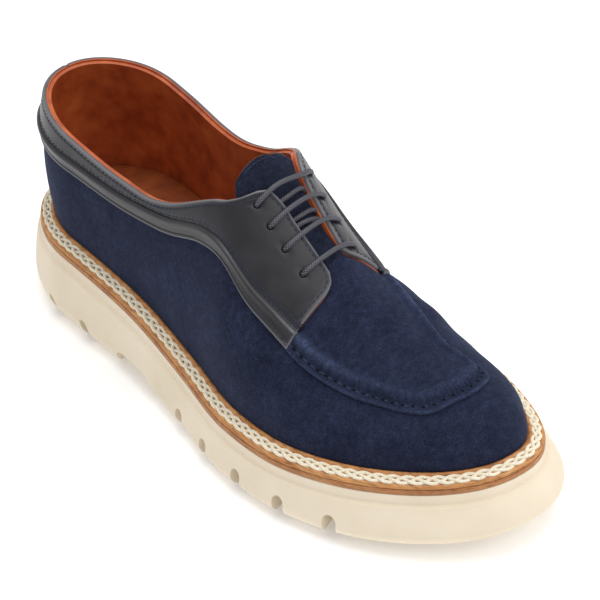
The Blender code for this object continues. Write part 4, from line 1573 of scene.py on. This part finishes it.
def crease_depth(spots: Spots) -> Array:
    """Height that the main creases add at each point of a patch."""
    total = np.zeros(len(spots.t))
    here = spots.on_last()
    for crease in CREASES:
        side = crease.side.value
        ends = LAST.point(side, LAST.station_at(np.array([crease.x0, crease.x1])),
                          np.array([crease.s0, crease.s1]))
        run = ends[1] - ends[0]
        share = np.clip(((here - ends[0]) @ run) / (run @ run), 0, 1)
        away = np.linalg.norm(here - (ends[0] + share[:, None] * run), axis=1)
        fade = 1 - (2 * share - 1) ** 4
        total += crease.depth * bell(away, crease.width) * fade * (spots.side == side)
    return total


def stations_over(low: float, high: float, pitch: float) -> Array:
    """Even stations between two places along the shoe, about a pitch apart.

    Args:
        low: Rear place.
        high: Front place.
        pitch: Distance between stations, in millimetres.

    Returns:
        The stations.
    """
    t0, t1 = LAST.station_at(low), LAST.station_at(high)
    count = max(int(abs(t1 - t0) * SPACING_RUN / pitch), 2)
    return np.linspace(t0, t1, count + 1)


def merged(*stations: Array) -> Array:
    """All of the stations in order, each once."""
    return np.unique(np.round(np.concatenate(stations), 6))


def waves(spots: Spots, pitch: float) -> Array:
    """Wave from -1 to 1 along the shoe, one to each stitch."""
    return np.cos(spots.t * FEATHER_RUN * 2 * math.pi / pitch)


@dataclass
class Upper:
    """Suede shell with its lining, lasted down to the welt."""

    suede_depth: float = 1.2
    lining_depth: float = 1.9
    lining_outside: float = -0.95
    lasted_to: float = -0.012
    pitch: float = 1.7
    seam_span: tuple[float, float] = (14.0, 28.0)
    seam_pitch: float = 0.45
    seam_foot: float = 15.2
    seam_slant: float = 20.0
    throat_xs: tuple[float, ...] = (44.5, 45.5, 46.5, 47.3, 48.0, 48.6, 49.1, 49.5)

    def stations(self) -> Array:
        """Stations from heel to toe, closer together at the side seam and the throat's end."""
        return merged(stations_over(LAST.heel_x, LAST.toe_x, self.pitch),
                      stations_over(*self.seam_span, self.seam_pitch),
                      LAST.station_at(np.array(self.throat_xs)))

    def worn(self, spots: Spots) -> Array:
        """Paler along the side seam's lip."""
        away = np.abs(spots.x - self.seam_foot - self.seam_slant * spots.s)
        return 0.3 * bell(away, 0.5) * (spots.side > 0)

    def build(self) -> None:
        """Add the suede, then the lining inside it."""
        t = self.stations()
        x = LAST.station_x(t)
        suede, lining = Skin(), Skin()
        for side in (-1, 1):
            top = Throat.topline(side, x)
            under = np.where(x < Throat.end, top - 0.02, 1.0)
            within = top - np.where(x < Throat.end, 0.004, 0.0)
            low = np.full_like(t, self.lasted_to)
            suede.add(side, t, rows_between(side, t, low, under, 34))
            lining.add(side, t, rows_between(side, t, low, within, 22))
        shell = suede.solid("suede_shell", flat(-self.suede_depth),
                            lambda p: crease_depth(p) - 0.02, self.worn)
        dress(shell, SUEDE, "upper")
        inner = lining.solid("lining", flat(-self.lining_depth), self.lining_top)
        dress(inner, LINING)

    def lining_top(self, spots: Spots) -> Array:
        """Outside of the lining, which comes up to the suede along the collar and the throat."""
        collar = (spots.x < Throat.bend) * (spots.s > 0.2)
        return self.lining_outside + 0.85 * bell(spots.edge, 2.2) * collar


@dataclass
class Apron:
    """Suede apron with a sewn, ridged border, which runs up between the facings."""

    ridge_at: float = 7.4
    ridge_width: float = 2.1
    ridge_rise: float = 1.7
    trough_at: float = 3.7
    stitch_pitch: float = 4.2
    rear: float = 45.0
    fine_end: float = 56.0
    fine_pitch: float = 0.6
    pitch: float = 1.0
    nose_gap: float = 1.6
    front_from: Pair = Pair(52.0, 46.0)
    wear_and_highlight_from: Pair = Pair(54.5, 48.0)
    steps: tuple[float, ...] = (0.0, 0.12, 0.35, 0.7, 1.1, 1.6, 2.1, 2.6, 3.1, 3.7, 4.3, 5.0, 5.7,
                                6.4, 7.1, 7.8, 8.5, 9.3, 10.2, 11.3, 12.6)

    def low(self, side: int, x: Array) -> Array:
        """Lower edge: the border's edge, and tucked below the facing behind its nose."""
        tucked = Throat.rim(side, np.minimum(x + self.nose_gap, 60.0)) - 0.02
        nose_end, _ = FACING_NOSE[-1].on(side)
        border = by_side(APRON_EDGE, side, x)
        return np.where(x < nose_end - self.nose_gap, np.maximum(tucked, border), border)

    def inwards(self, spots: Spots) -> Array:
        """Distance in from the sewn border's edge."""
        return spots.up_from(by_side(APRON_EDGE, spots.side, spots.x))

    def worn(self, spots: Spots) -> Array:
        """Painted highlight along the ridge's crest, most of all near the strap's ends, and a paler
        lip at the border's edge, partly its cut edge and partly painted highlight.
        """
        near = 0.35 + 0.65 * bell(spots.x - 60.0, 22.0)
        # Crest of the ridge, where the highlight is painted.
        crest = bell(self.inwards(spots) - self.ridge_at + 0.3, 1.9)
        gathered = 0.85 + 0.15 * waves(spots, self.stitch_pitch)
        # Paler lip at the edge: cut edge and painted highlight together.
        lip = 0.3 * bell(spots.edge - 0.4, 0.6)
        front = ease((spots.x - self.wear_and_highlight_from.at(spots.side)) / 2.5)
        return (0.62 * crest * near * gathered + lip) * front

    def top(self, spots: Spots) -> Array:
        """Height of the apron: its rolled edge, the border's trough and ridge, and the throat."""
        inwards = self.inwards(spots)
        front = ease((spots.x - self.front_from.at(spots.side)) / 6.0)
        pucker = 0.32 * waves(spots, self.stitch_pitch) * bell(inwards - 4.6, 1.7)
        ridge = self.ridge_rise * bell(inwards - self.ridge_at, self.ridge_width) + pucker
        trough = 0.7 * bell(inwards - self.trough_at, 1.3)
        height = throat_height(spots.x) + (ridge - trough) * front
        beside = 0.15 + 0.85 * ease((Throat.gap(spots) - 0.3) / 3.2)
        border = np.where(spots.x > 46.0, 0.35 + 0.65 * rolled(spots.edge, 0.7),
                          rolled(spots.edge, 1.1))
        return -0.05 + (height + 0.05) * border * np.where(spots.x > 44.0, beside, 1.0)

    def build(self) -> None:
        """Add the apron."""
        t = merged(stations_over(self.rear, self.fine_end, self.fine_pitch),
                   stations_over(self.fine_end, LAST.toe_x, self.pitch))
        x = LAST.station_x(t)
        skin = Skin()
        for side in (-1, 1):
            low = self.low(side, x)
            skin.add(side, t, rows_between(side, t, low, np.ones_like(t), 16, self.steps, (0.0,)))
        apron = skin.solid("suede_apron", lambda p: np.minimum(-0.1, throat_height(p.x) - 1.2),
                           self.top, self.worn)
        dress(apron, SUEDE, "apron")


THROAT_DEPTH = 2.7
APRON_RISE = 4.5


def throat_height(x: Array) -> Array:
    """Offset of the suede along the spine: the deep tongue, its padded foot and the apron."""
    return -THROAT_DEPTH + APRON_RISE * ease((x - 33.0) / 15.2)


@dataclass
class Facing:
    """Smooth leather facing of one side, with its collar band back to the heel seam."""

    side: Side
    underside: float = 0.35
    thickness: float = 2.25
    lining_underside: float = -0.1
    lip_thin: Pair = Pair(0.1, 0.25)
    lip_full: Pair = Pair(1.5, 1.1)
    lip_start: Pair = Pair(53.4, 44.6)
    pitch: float = 1.7
    stitch_pitch: float = 2.6
    below_strap: float = 0.014
    heel_end: float = -135.0
    heel_gap: float = 0.0002
    eyelet_radius: float = 1.5
    punch_depth: float = 9.0

    @property
    def name(self) -> str:
        """The side's name in the names of its pieces."""
        return self.side.name.lower()

    def stations(self) -> Array:
        """Stations from the heel seam to the front of the nose."""
        xs, _ = Throat.nose(self.side.value)
        return merged(np.maximum(stations_over(LAST.heel_x, xs[0], self.pitch), self.heel_gap),
                      LAST.station_at(xs[1:]))

    def eyelets(self) -> list[tuple[float, float]]:
        """Station and level of each eyelet, from the toe upwards."""
        places = (row.on(self.side.value) for row in EYELETS)
        return [(float(LAST.station_at(x)), level) for x, level in places]

    def lip(self, x: Array) -> Array:
        """How far the lining stands out past the leather: more round the front of the nose."""
        thin, full, start = (float(pair.at(self.side.value))
                             for pair in (self.lip_thin, self.lip_full, self.lip_start))
        return thin + (full - thin) * ease(x - start)

    def low(self, side: Values, x: Array) -> Array:
        """Level of the lower edge, just below the strap's upper one."""
        return by_side(STRAP_TOP, side, x) - self.below_strap

    def patch(self, lined: bool) -> Skin:
        """Skin of the facing, with its rim moved out to the lining's lip where lined."""
        side, t = self.side.value, self.stations()
        x = LAST.station_x(t)
        low = self.low(side, x)
        rim = Throat.rim(side, x)
        if lined:
            rim = LAST.raised(side, t, rim, self.lip(x))
        skin = Skin()
        skin.add(side, t, rows_between(side, t, low, rim, 26))
        return skin

    def pucker(self, spots: Spots) -> Array:
        """Dimple round each eyelet, where the lace pulls the leather in."""
        here = spots.on_last()
        total = np.zeros(len(spots.t))
        for t, s in self.eyelets():
            away = np.linalg.norm(here - LAST.point(self.side.value, np.array(t), np.array(s)),
                                  axis=1)
            total += 0.22 * bell(away - 2.5, 0.6) - 0.7 * bell(away, 1.9)
        return total

    def above(self, spots: Spots) -> Array:
        """Distance up from the lower edge, which the strap hides."""
        return spots.up_from(self.low(spots.side, spots.x))

    def free(self, spots: Spots) -> Array:
        """Distance in from the edges that show."""
        above = self.above(spots)
        below_rim = -spots.up_from(Throat.rim(self.side.value, spots.x))
        edge = np.where(spots.x < self.heel_end, below_rim, spots.edge)
        return np.where(above < 5.0, np.maximum(edge, above), edge)

    def top(self, spots: Spots) -> Array:
        """Height of the leather: a rolled rim, sewn grooves, the back seam and the eyelets."""
        above, free = self.above(spots), self.free(spots)
        rim = 0.12 * bell(free - 1.0, 0.5) - 0.22 * bell(free - 2.3, 0.6)
        drawn = 0.1 + 0.1 * waves(spots, self.stitch_pitch)
        groove = (0.12 + drawn) * bell(above - 3.1, 0.5) + (0.06 + drawn) * bell(above - 4.6, 0.5)
        seam = 0.5 * bell(spots.t * FEATHER_RUN, 0.5)
        body = self.underside + (self.thickness - self.underside) * rolled(free, 0.9) - seam
        return body + rim - groove + self.pucker(spots) * (free > 1.5)

    def lining_top(self, spots: Spots) -> Array:
        """Outside of the lining, with a rounded lip."""
        return self.lining_underside + 0.85 * rolled(spots.edge, 0.3)

    def worn(self, spots: Spots) -> Array:
        """Paler along the rim, partly the leather's cut edge and partly a painted highlight on the
        rolled rim.
        """
        return 0.75 * bell(self.free(spots) - 0.5, 0.55)

    def cutters(self) -> list[Thing]:
        """A round punch for each eyelet."""
        punches = []
        for t, s in self.eyelets():
            place = LAST.place(self.side.value, np.array(t), np.array(s), 0.0)
            normal = Vector(LAST.normal(self.side.value, np.array(t), np.array(s)))
            work = bmesh.new()
            bmesh.ops.create_cone(
                work, cap_ends=True, segments=20, radius1=self.eyelet_radius * MM,
                radius2=self.eyelet_radius * MM, depth=self.punch_depth * MM,
                matrix=Matrix.Translation(Vector(place) * MM)
                @ normal.to_track_quat("Z", "Y").to_matrix().to_4x4())
            mesh = bpy.data.meshes.new("punch")
            work.to_mesh(mesh)
            work.free()
            punches.append(new_object("punch", mesh))
        return punches

    def build(self) -> None:
        """Add the leather and its own lining, both with punched eyelets."""
        leather = self.patch(False).solid("facing_leather_" + self.name, flat(self.underside),
                                          self.top, self.worn)
        lining = self.patch(True).solid("facing_lining_" + self.name,
                                        flat(self.lining_underside), self.lining_top)
        for piece in (leather, lining):
            cut(piece, self.cutters())
            finish_mesh(piece)
        dress(leather, CALF, "facing_" + self.name)
        dress(lining, LINING)


@dataclass
class Strap:
    """Rolled strap with a flat sewn margin, from one end of the apron's border to the other."""

    fronts: Pair = Pair(56.0, 49.5)
    tails: tuple[float, ...] = (2.2, 1.6, 1.1, 0.7, 0.4, 0.15)
    along: float = 1.02
    pitch: float = 1.5
    over: float = 0.006
    underside: float = -0.1
    section: tuple[tuple[float, float], ...] = (
        (0.0, 2.35), (0.07, 2.95), (0.17, 3.4), (0.28, 3.3), (0.40, 2.75), (0.52, 2.3),
        (0.64, 2.0), (0.72, 1.75), (0.77, 1.45), (0.82, 1.75), (0.90, 1.85), (1.0, 1.75))

    def span(self, side: Any, x: Array) -> tuple[Array, Array]:
        """Levels of the lower and upper edge."""
        high = by_side(STRAP_TOP, side, x)
        return high - by_side(STRAP_WIDTH, side, x), high + self.over

    def height(self, spots: Spots) -> Array:
        """Its section: a full roll against the facing, a slope, the sewn groove and a thin lip."""
        low, high = self.span(spots.side, spots.x)
        share = (high - spots.s) / (high - low)
        shares, heights = (np.array(column) for column in zip(*self.section))
        body = through(shares, heights, share)
        ahead = self.ahead(spots)
        fold = 0.35 * bell(ahead - 1.3, 0.8) - 0.3 * bell(ahead - 3.4, 0.8)
        return -0.05 + (body + fold + 0.05) * rolled(self.free(spots), 0.8)

    def ahead(self, spots: Spots) -> Array:
        """Distance back from the front end of the side, lateral or medial."""
        return (self.fronts.at(spots.side) - spots.x) * self.along

    def free(self, spots: Spots) -> Array:
        """Distance in from the lower edge and from the front end."""
        low, _ = self.span(spots.side, spots.x)
        return np.minimum(spots.up_from(low), self.ahead(spots))

    def worn(self, spots: Spots) -> Array:
        """Paler along the edges, partly cut edge and partly painted highlight, and a painted
        highlight along the crest of the roll, most of all at the front end.
        """
        low, high = self.span(spots.side, spots.x)
        # Crest of the roll, where the highlight is painted.
        crest = bell((high - spots.s) / (high - low) - 0.15, 0.09)
        near = 0.25 + 0.75 * ease((18.0 - self.ahead(spots)) / 14.0)
        return np.maximum(0.8 * bell(self.free(spots) - 0.3, 0.6), 0.4 * crest * near)

    def build(self) -> None:
        """Add the strap."""
        skin = Skin()
        for side, front in zip((-1, 1), self.fronts):
            t = merged(stations_over(LAST.heel_x, front, self.pitch),
                       LAST.station_at(front - np.array(self.tails)))
            x = LAST.station_x(t)
            skin.add(side, t, rows_between(side, t, *self.span(side, x), 22))
        strap = skin.solid("rolled_strap", flat(self.underside), self.height, self.worn)
        dress(strap, CALF, "strap")


@dataclass
class Tongue:
    """Suede tongue with a lined underside."""

    end: float = 4.2
    middle: float = 7.6
    front: float = 47.5
    level: float = 0.62
    depth: float = 2.2
    padding: float = 1.3
    underside: float = -3.9
    lining_top: float = -3.95
    foot: float = 44.0
    tan_until: float = 40.0

    def top(self, spots: Spots) -> Array:
        """Height of the suede: padded where it shows, and down under the facings and the apron."""
        rim = Throat.topline(-1, spots.x) * (spots.side < 0) \
            + Throat.topline(1, spots.x) * (spots.side > 0)
        inside = ease((spots.s - rim + 0.028) / 0.03)
        lift = throat_height(np.minimum(spots.x, self.foot)) + THROAT_DEPTH
        lift = lift + self.padding * (1 - ease((spots.x - 33.0) / 11.0))
        below = throat_height(spots.x) - 0.4 + THROAT_DEPTH
        lift = lift + (below - lift) * ease((spots.x - self.foot) / 2.0)
        return -THROAT_DEPTH + lift * inside - 0.9 * (1 - rolled(spots.edge, 0.9))

    def slant(self, x: Array) -> Array:
        """Level of the slanted end on the lateral side."""
        return 0.72 + 0.28 * np.clip((x - self.end) / (self.middle - self.end), 0, 1) ** 0.7

    def cut_edge(self, spots: Spots) -> Array:
        """The tan cut edge, as far forward as it shows."""
        return bell(spots.edge, 0.35) * (spots.x < self.tan_until)

    def build(self) -> None:
        """Add the suede and the lining below it."""
        straight = stations_over(self.middle, self.front, 1.2)
        slanted = np.concatenate([stations_over(self.end, self.middle, 0.4)[:-1], straight])
        suede, under = Skin(), Skin()
        for side, t in ((-1, slanted), (1, straight)):
            x = LAST.station_x(t)
            wing = self.level + 0.07 * (1 - ease((x - self.end) / 8.0))
            high = np.where(t >= straight[0], 1.0, self.slant(x))
            for skin in (suede, under):
                skin.add(side, t, rows_between(side, t, wing, high, 30, EDGE_STEPS, (0.0,)))
        tongue = suede.solid("suede_tongue", flat(self.underside), self.top, self.cut_edge)
        dress(tongue, CUT_SUEDE, "tongue")
        lining = under.solid("tongue_lining", flat(-THROAT_DEPTH - self.depth),
                             flat(self.lining_top))
        dress(lining, LINING)


@dataclass
class Laces:
    """Four straight crossings of round waxed lace, and the strands that cross below them."""

    radius: float = 1.15
    rise: float = 3.9
    sides: int = 12
    step: float = 0.5
    swing: Pair = Pair(0.3, 1.5)
    under: tuple[tuple[float, float], ...] = ((22.3, 21.2), (28.9, 28.2), (31.0, 31.4))

    def joined(self, halves: Sequence[Array]) -> Array:
        """Smooth path from the lateral half's points over to the medial half's."""
        nodes = np.concatenate([halves[0], halves[1][::-1]])
        run = np.concatenate([[0], np.cumsum(np.linalg.norm(np.diff(nodes, axis=0), axis=1))])
        fine = np.arange(0, run[-1], self.step)
        return np.stack([through(run, nodes[:, k], fine) for k in range(3)], -1)

    def tube(self, name: str, path: Array) -> Thing:
        """Round cord along a path, with its own map in metres along and round it.

        Args:
            name: Name of the piece.
            path: Points of the cord's middle line.

        Returns:
            The new object.
        """
        count = len(path)
        run = unit(np.gradient(path, axis=0))
        across = unit(np.array([1.0, 0.0, 0.0]) - run * run[:, :1])
        up = np.cross(run, across)
        turn = np.linspace(0, 2 * math.pi, self.sides, endpoint=False)
        ring = across[:, None] * np.cos(turn)[:, None] + up[:, None] * np.sin(turn)[:, None]
        points = (path[:, None] + ring * self.radius).reshape(-1, 3)
        faces = []
        for i in range(count - 1):
            for k in range(self.sides):
                j = (k + 1) % self.sides
                a, b = i * self.sides, (i + 1) * self.sides
                faces.append((a + k, b + k, b + j, a + j))
        faces.append(tuple(range(self.sides)))
        faces.append(tuple(reversed(range((count - 1) * self.sides, count * self.sides))))
        thing = add_object(name, points, faces)
        length = np.concatenate([[0], np.cumsum(np.linalg.norm(np.diff(path, axis=0), axis=1))])
        layer = thing.data.uv_layers.new(name="run")
        for face in thing.data.polygons:
            ks = [thing.data.loops[i].vertex_index for i in face.loop_indices]
            seam = max(k % self.sides for k in ks) - min(k % self.sides for k in ks) > 1
            for loop, k in zip(face.loop_indices, ks):
                around = k % self.sides
                around = self.sides if seam and around == 0 else around
                layer.data[loop].uv = (length[min(k // self.sides, count - 1)] * MM,
                                       around / self.sides)
        thing.data.shade_smooth()
        return thing

    def build(self) -> None:
        """Add the four bars and the strands that show below them."""
        for number, (lateral, medial) in enumerate(self.under):
            halves = []
            for side, x in zip(Side, (lateral, medial)):
                t = float(LAST.station_at(x))
                rim = float(Throat.rim(side.value, np.array(x)))
                levels = np.array([rim - 0.07, rim - 0.02, rim + 0.04])
                rise = float(throat_height(np.array(x)))
                offsets = np.array([-1.5, -1.2, max(rise + 1.3, -1.4) + 1.1])
                halves.append(LAST.place(side.value, np.full(3, t), levels, offsets))
            dress(self.tube(f"lace_below_{number + 1}", self.joined(halves)), LACE)
        for row in range(len(EYELETS)):
            halves, ends = [], [Facing(side).eyelets()[row] for side in Side]
            for side, (t, s), (far, _) in zip(Side, ends, reversed(ends)):
                rim = float(Throat.rim(side.value, LAST.station_x(np.array(t))))
                rise = self.rise
                reach = [(s, -1.2, 0.0), (s, rise - 2.9, 0.0), (s + 0.003, rise - 1.8, 0.0),
                         (s + 0.009, rise - 0.9, 0.01), (s + 0.02, rise - 0.4, 0.04),
                         (s + 0.04, rise - 0.25, 0.1), ((s + 0.045 + rim) / 2, rise - 0.2, 0.2),
                         (rim, rise - 0.3, 0.3)]
                levels, offsets, shares = (np.array(column) for column in zip(*reach))
                shares = shares * float(self.swing.at(side.value))
                halves.append(LAST.place(side.value, t + (far - t) * shares, levels, offsets))
            bar = self.tube(f"lace_crossing_{row + 1}", self.joined(halves))
            dress(bar, LACE, f"lace_bar_{row + 1}")


class Stitch(NamedTuple):
    """One kind of stitch: its thread, the leather's height below it, and its sizes."""

    finish: Finish
    height: float
    pitch: float
    length: float
    radius: float
    rise: float = 0.35


FACING_STITCH = Stitch(NAVY_THREAD, 2.05, 2.6, 2.0, 0.26)
STRAP_STITCH = Stitch(NAVY_THREAD, 1.4, 2.6, 2.0, 0.24)
TONGUE_STITCH = Stitch(NAVY_THREAD, -1.3, 2.6, 2.0, 0.28)
APRON_STITCH = Stitch(PALE_THREAD, 1.25, 4.2, 2.4, 0.28, 0.2)
# Painted shadow of the stitch holes, as flat dark marks along the row.
APRON_HOLE_SHADOW = Stitch(HOLE_SHADOW, 1.35, 4.2, 1.2, 0.5, 0.05)


@dataclass(frozen=True)
class Stitching:
    """Rows of thread over the upper, each a set distance in from an edge."""

    rear: float = -138.0
    front: Pair = Pair(54.0, 47.5)
    rim_inset: float = 2.3
    lower_rows: tuple[float, ...] = (0.8, 2.3)
    lower_level: float = 0.008
    strap_share: float = 0.76
    tongue_inset: float = -2.2
    apron_row: float = 2.9
    stitches_from: Pair = Pair(56.5, 50.5)
    hole_shadows_from: Pair = Pair(58.6, 52.6)
    lean: float = 0.12
    seed: int = 7

    def row(self, name: str, side: int, t: Array, s: Array, stitch: Stitch) -> None:
        """Sew one row.

        Args:
            name: Name of the piece.
            side: Sign of the side.
            t: Stations of the row.
            s: Levels of the row.
            stitch: Kind of stitch.
        """
        path = Path(LAST.place(side, t, s, stitch.height), LAST.normal(side, t, s))
        done = StitchRow().apply(
            path.mesh_object(name), Pitch=stitch.pitch * MM, Length=stitch.length * MM,
            Radius=stitch.radius * MM, Rise=stitch.rise * MM, Lean=self.lean, Seed=self.seed,
            Finish=stitch.finish.make())
        dress(done, stitch.finish)

    def sew_facing(self, side: int, name: str) -> None:
        """One row round the facing's rim and two along its lower edge."""
        xs, levels = Throat.nose(side)
        x = np.concatenate([np.linspace(self.rear, xs[0], 160)[:-1], xs])
        t, s = LAST.station_at(x), Throat.rim(side, x)
        s[-len(xs):] = levels
        t, s = LAST.inset(side, t, s, self.rim_inset * side)
        self.row("rim_stitches_" + name, side, t, s, FACING_STITCH)
        x = np.linspace(self.rear, float(self.front.at(side)), 200)
        t = LAST.station_at(x)
        base = by_side(STRAP_TOP, side, x) + self.lower_level
        for number, up in enumerate(self.lower_rows):
            s = LAST.raised(side, t, base, up)
            self.row(f"lower_stitches_{name}_{number + 1}", side, t, s, FACING_STITCH)

    def sew_strap(self, side: int, name: str) -> None:
        """A row in the strap's groove."""
        x = np.linspace(self.rear, float(self.front.at(side)), 200)
        s = by_side(STRAP_TOP, side, x) - by_side(STRAP_WIDTH, side, x) * self.strap_share
        self.row("strap_stitches_" + name, side, LAST.station_at(x), s, STRAP_STITCH)

    def sew_tongue(self, side: int, name: str) -> None:
        """A row along the tongue's slanted lateral end or its straight medial one."""
        if side < 0:
            x = np.linspace(4.5, 7.5, 24)
            t, s = LAST.inset(side, LAST.station_at(x), Tongue().slant(x), self.tongue_inset)
        else:
            s = np.linspace(0.85, 1.0, 24)
            t = LAST.station_at(np.full(24, 9.8))
        self.row("tongue_stitches_" + name, side, t, s, TONGUE_STITCH)

    def sew_apron(self, side: int, name: str) -> None:
        """The apron's stitches in their border, and near-black marks that paint the shade in each
        stitch's hole.
        """
        for kind, start, stitch in (("stitches", self.stitches_from, APRON_STITCH),
                                    ("holes", self.hole_shadows_from, APRON_HOLE_SHADOW)):
            t = stations_over(float(start.at(side)), LAST.toe_x, 1.0)
            edge = by_side(APRON_EDGE, side, LAST.station_x(t))
            s = LAST.raised(side, t, edge, self.apron_row)
            self.row(f"apron_{kind}_{name}", side, t, s, stitch)

    def build(self) -> None:
        """Sew the facings, the strap, the tongue and the apron."""
        for side in Side:
            for sew in (self.sew_facing, self.sew_strap, self.sew_tongue, self.sew_apron):
                sew(side.value, side.name.lower())


class Lamp(NamedTuple):
    """A square soft light."""

    name: str
    place: Triple
    aim: Triple
    size: float
    power: float


LAMPS = (
    Lamp("overhead", (-0.1, 0.15, 1.5), (0, 0, 0), 1.3, 14.8),
    Lamp("right", (1.1, 0.5, 0.9), (0, 0, 0.05), 0.9, 5.5),
)


@dataclass
class Studio:
    """Pale floor, broad soft lights and the camera."""

    position: Triple = (0.6619, -0.5144, 0.6752)
    aim: Triple = (0.0089, 0.0111, 0.0447)
    roll: float = -3.63
    lens: float = 142.7
    floor_reach: float = 4.0
    floor_drop: float = 0.0002
    sky: float = 0.58

    def add_floor(self) -> None:
        """Add the pale paper that the shoe stands on."""
        far, low = self.floor_reach, -self.floor_drop
        mesh = bpy.data.meshes.new("floor")
        mesh.from_pydata([(-far, -far, low), (far, -far, low), (far, far, low), (-far, far, low)],
                         [], [(0, 1, 2, 3)])
        floor = new_object("floor", mesh)
        white = bpy.data.materials.new("white_paper")
        white.use_nodes = True
        shader = white.node_tree.nodes["Principled BSDF"]
        for name, value in (("Base Color", linear("#F8F8F8")),
                            ("Emission Color", linear("#FFFFFF")), ("Emission Strength", 0.2),
                            ("Roughness", 1.0), ("Specular IOR Level", 0.0)):
            shader.inputs[name].default_value = value
        mesh.materials.append(white)

    def add_light(self) -> None:
        """Add an even sky and the lamps."""
        world = bpy.data.worlds.new("studio")
        world.use_nodes = True
        sky = world.node_tree.nodes["Background"]
        sky.inputs[0].default_value = (1, 1, 1, 1)
        sky.inputs[1].default_value = self.sky
        bpy.context.scene.world = world
        for lamp in LAMPS:
            data = bpy.data.lights.new(lamp.name, "AREA")
            data.size = lamp.size
            data.energy = lamp.power
            thing = new_object(lamp.name, data)
            thing.location = lamp.place
            way = Vector(lamp.aim) - Vector(lamp.place)
            thing.rotation_euler = way.to_track_quat("-Z", "Y").to_euler()

    def add_camera(self) -> None:
        """Add the camera that the render looks through."""
        camera = new_object("camera", bpy.data.cameras.new("camera"))
        camera.data.lens = self.lens
        camera.data.clip_start = 0.05
        camera.location = self.position
        look = (Vector(self.aim) - Vector(self.position)).to_track_quat("-Z", "Y")
        turn = look.to_matrix() @ Matrix.Rotation(math.radians(self.roll), 3, "Z")
        camera.rotation_euler = turn.to_euler()
        bpy.context.scene.camera = camera
        bpy.context.scene.view_settings.view_transform = "Standard"

    def build(self) -> None:
        """Add the floor, the lights and the camera."""
        self.add_floor()
        self.add_light()
        self.add_camera()


def main() -> None:
    """Build every piece of the shoe and its studio."""
    logging.basicConfig(level=logging.INFO, format="%(name)s %(message)s")
    for part in (Sole(), WeltWork(), Insole(), Upper(), Apron(), Facing(Side.LATERAL),
                 Facing(Side.MEDIAL), Strap(), Tongue(), Laces(), Stitching(), Studio()):
        part.build()


if __name__ == "__main__":
    main()
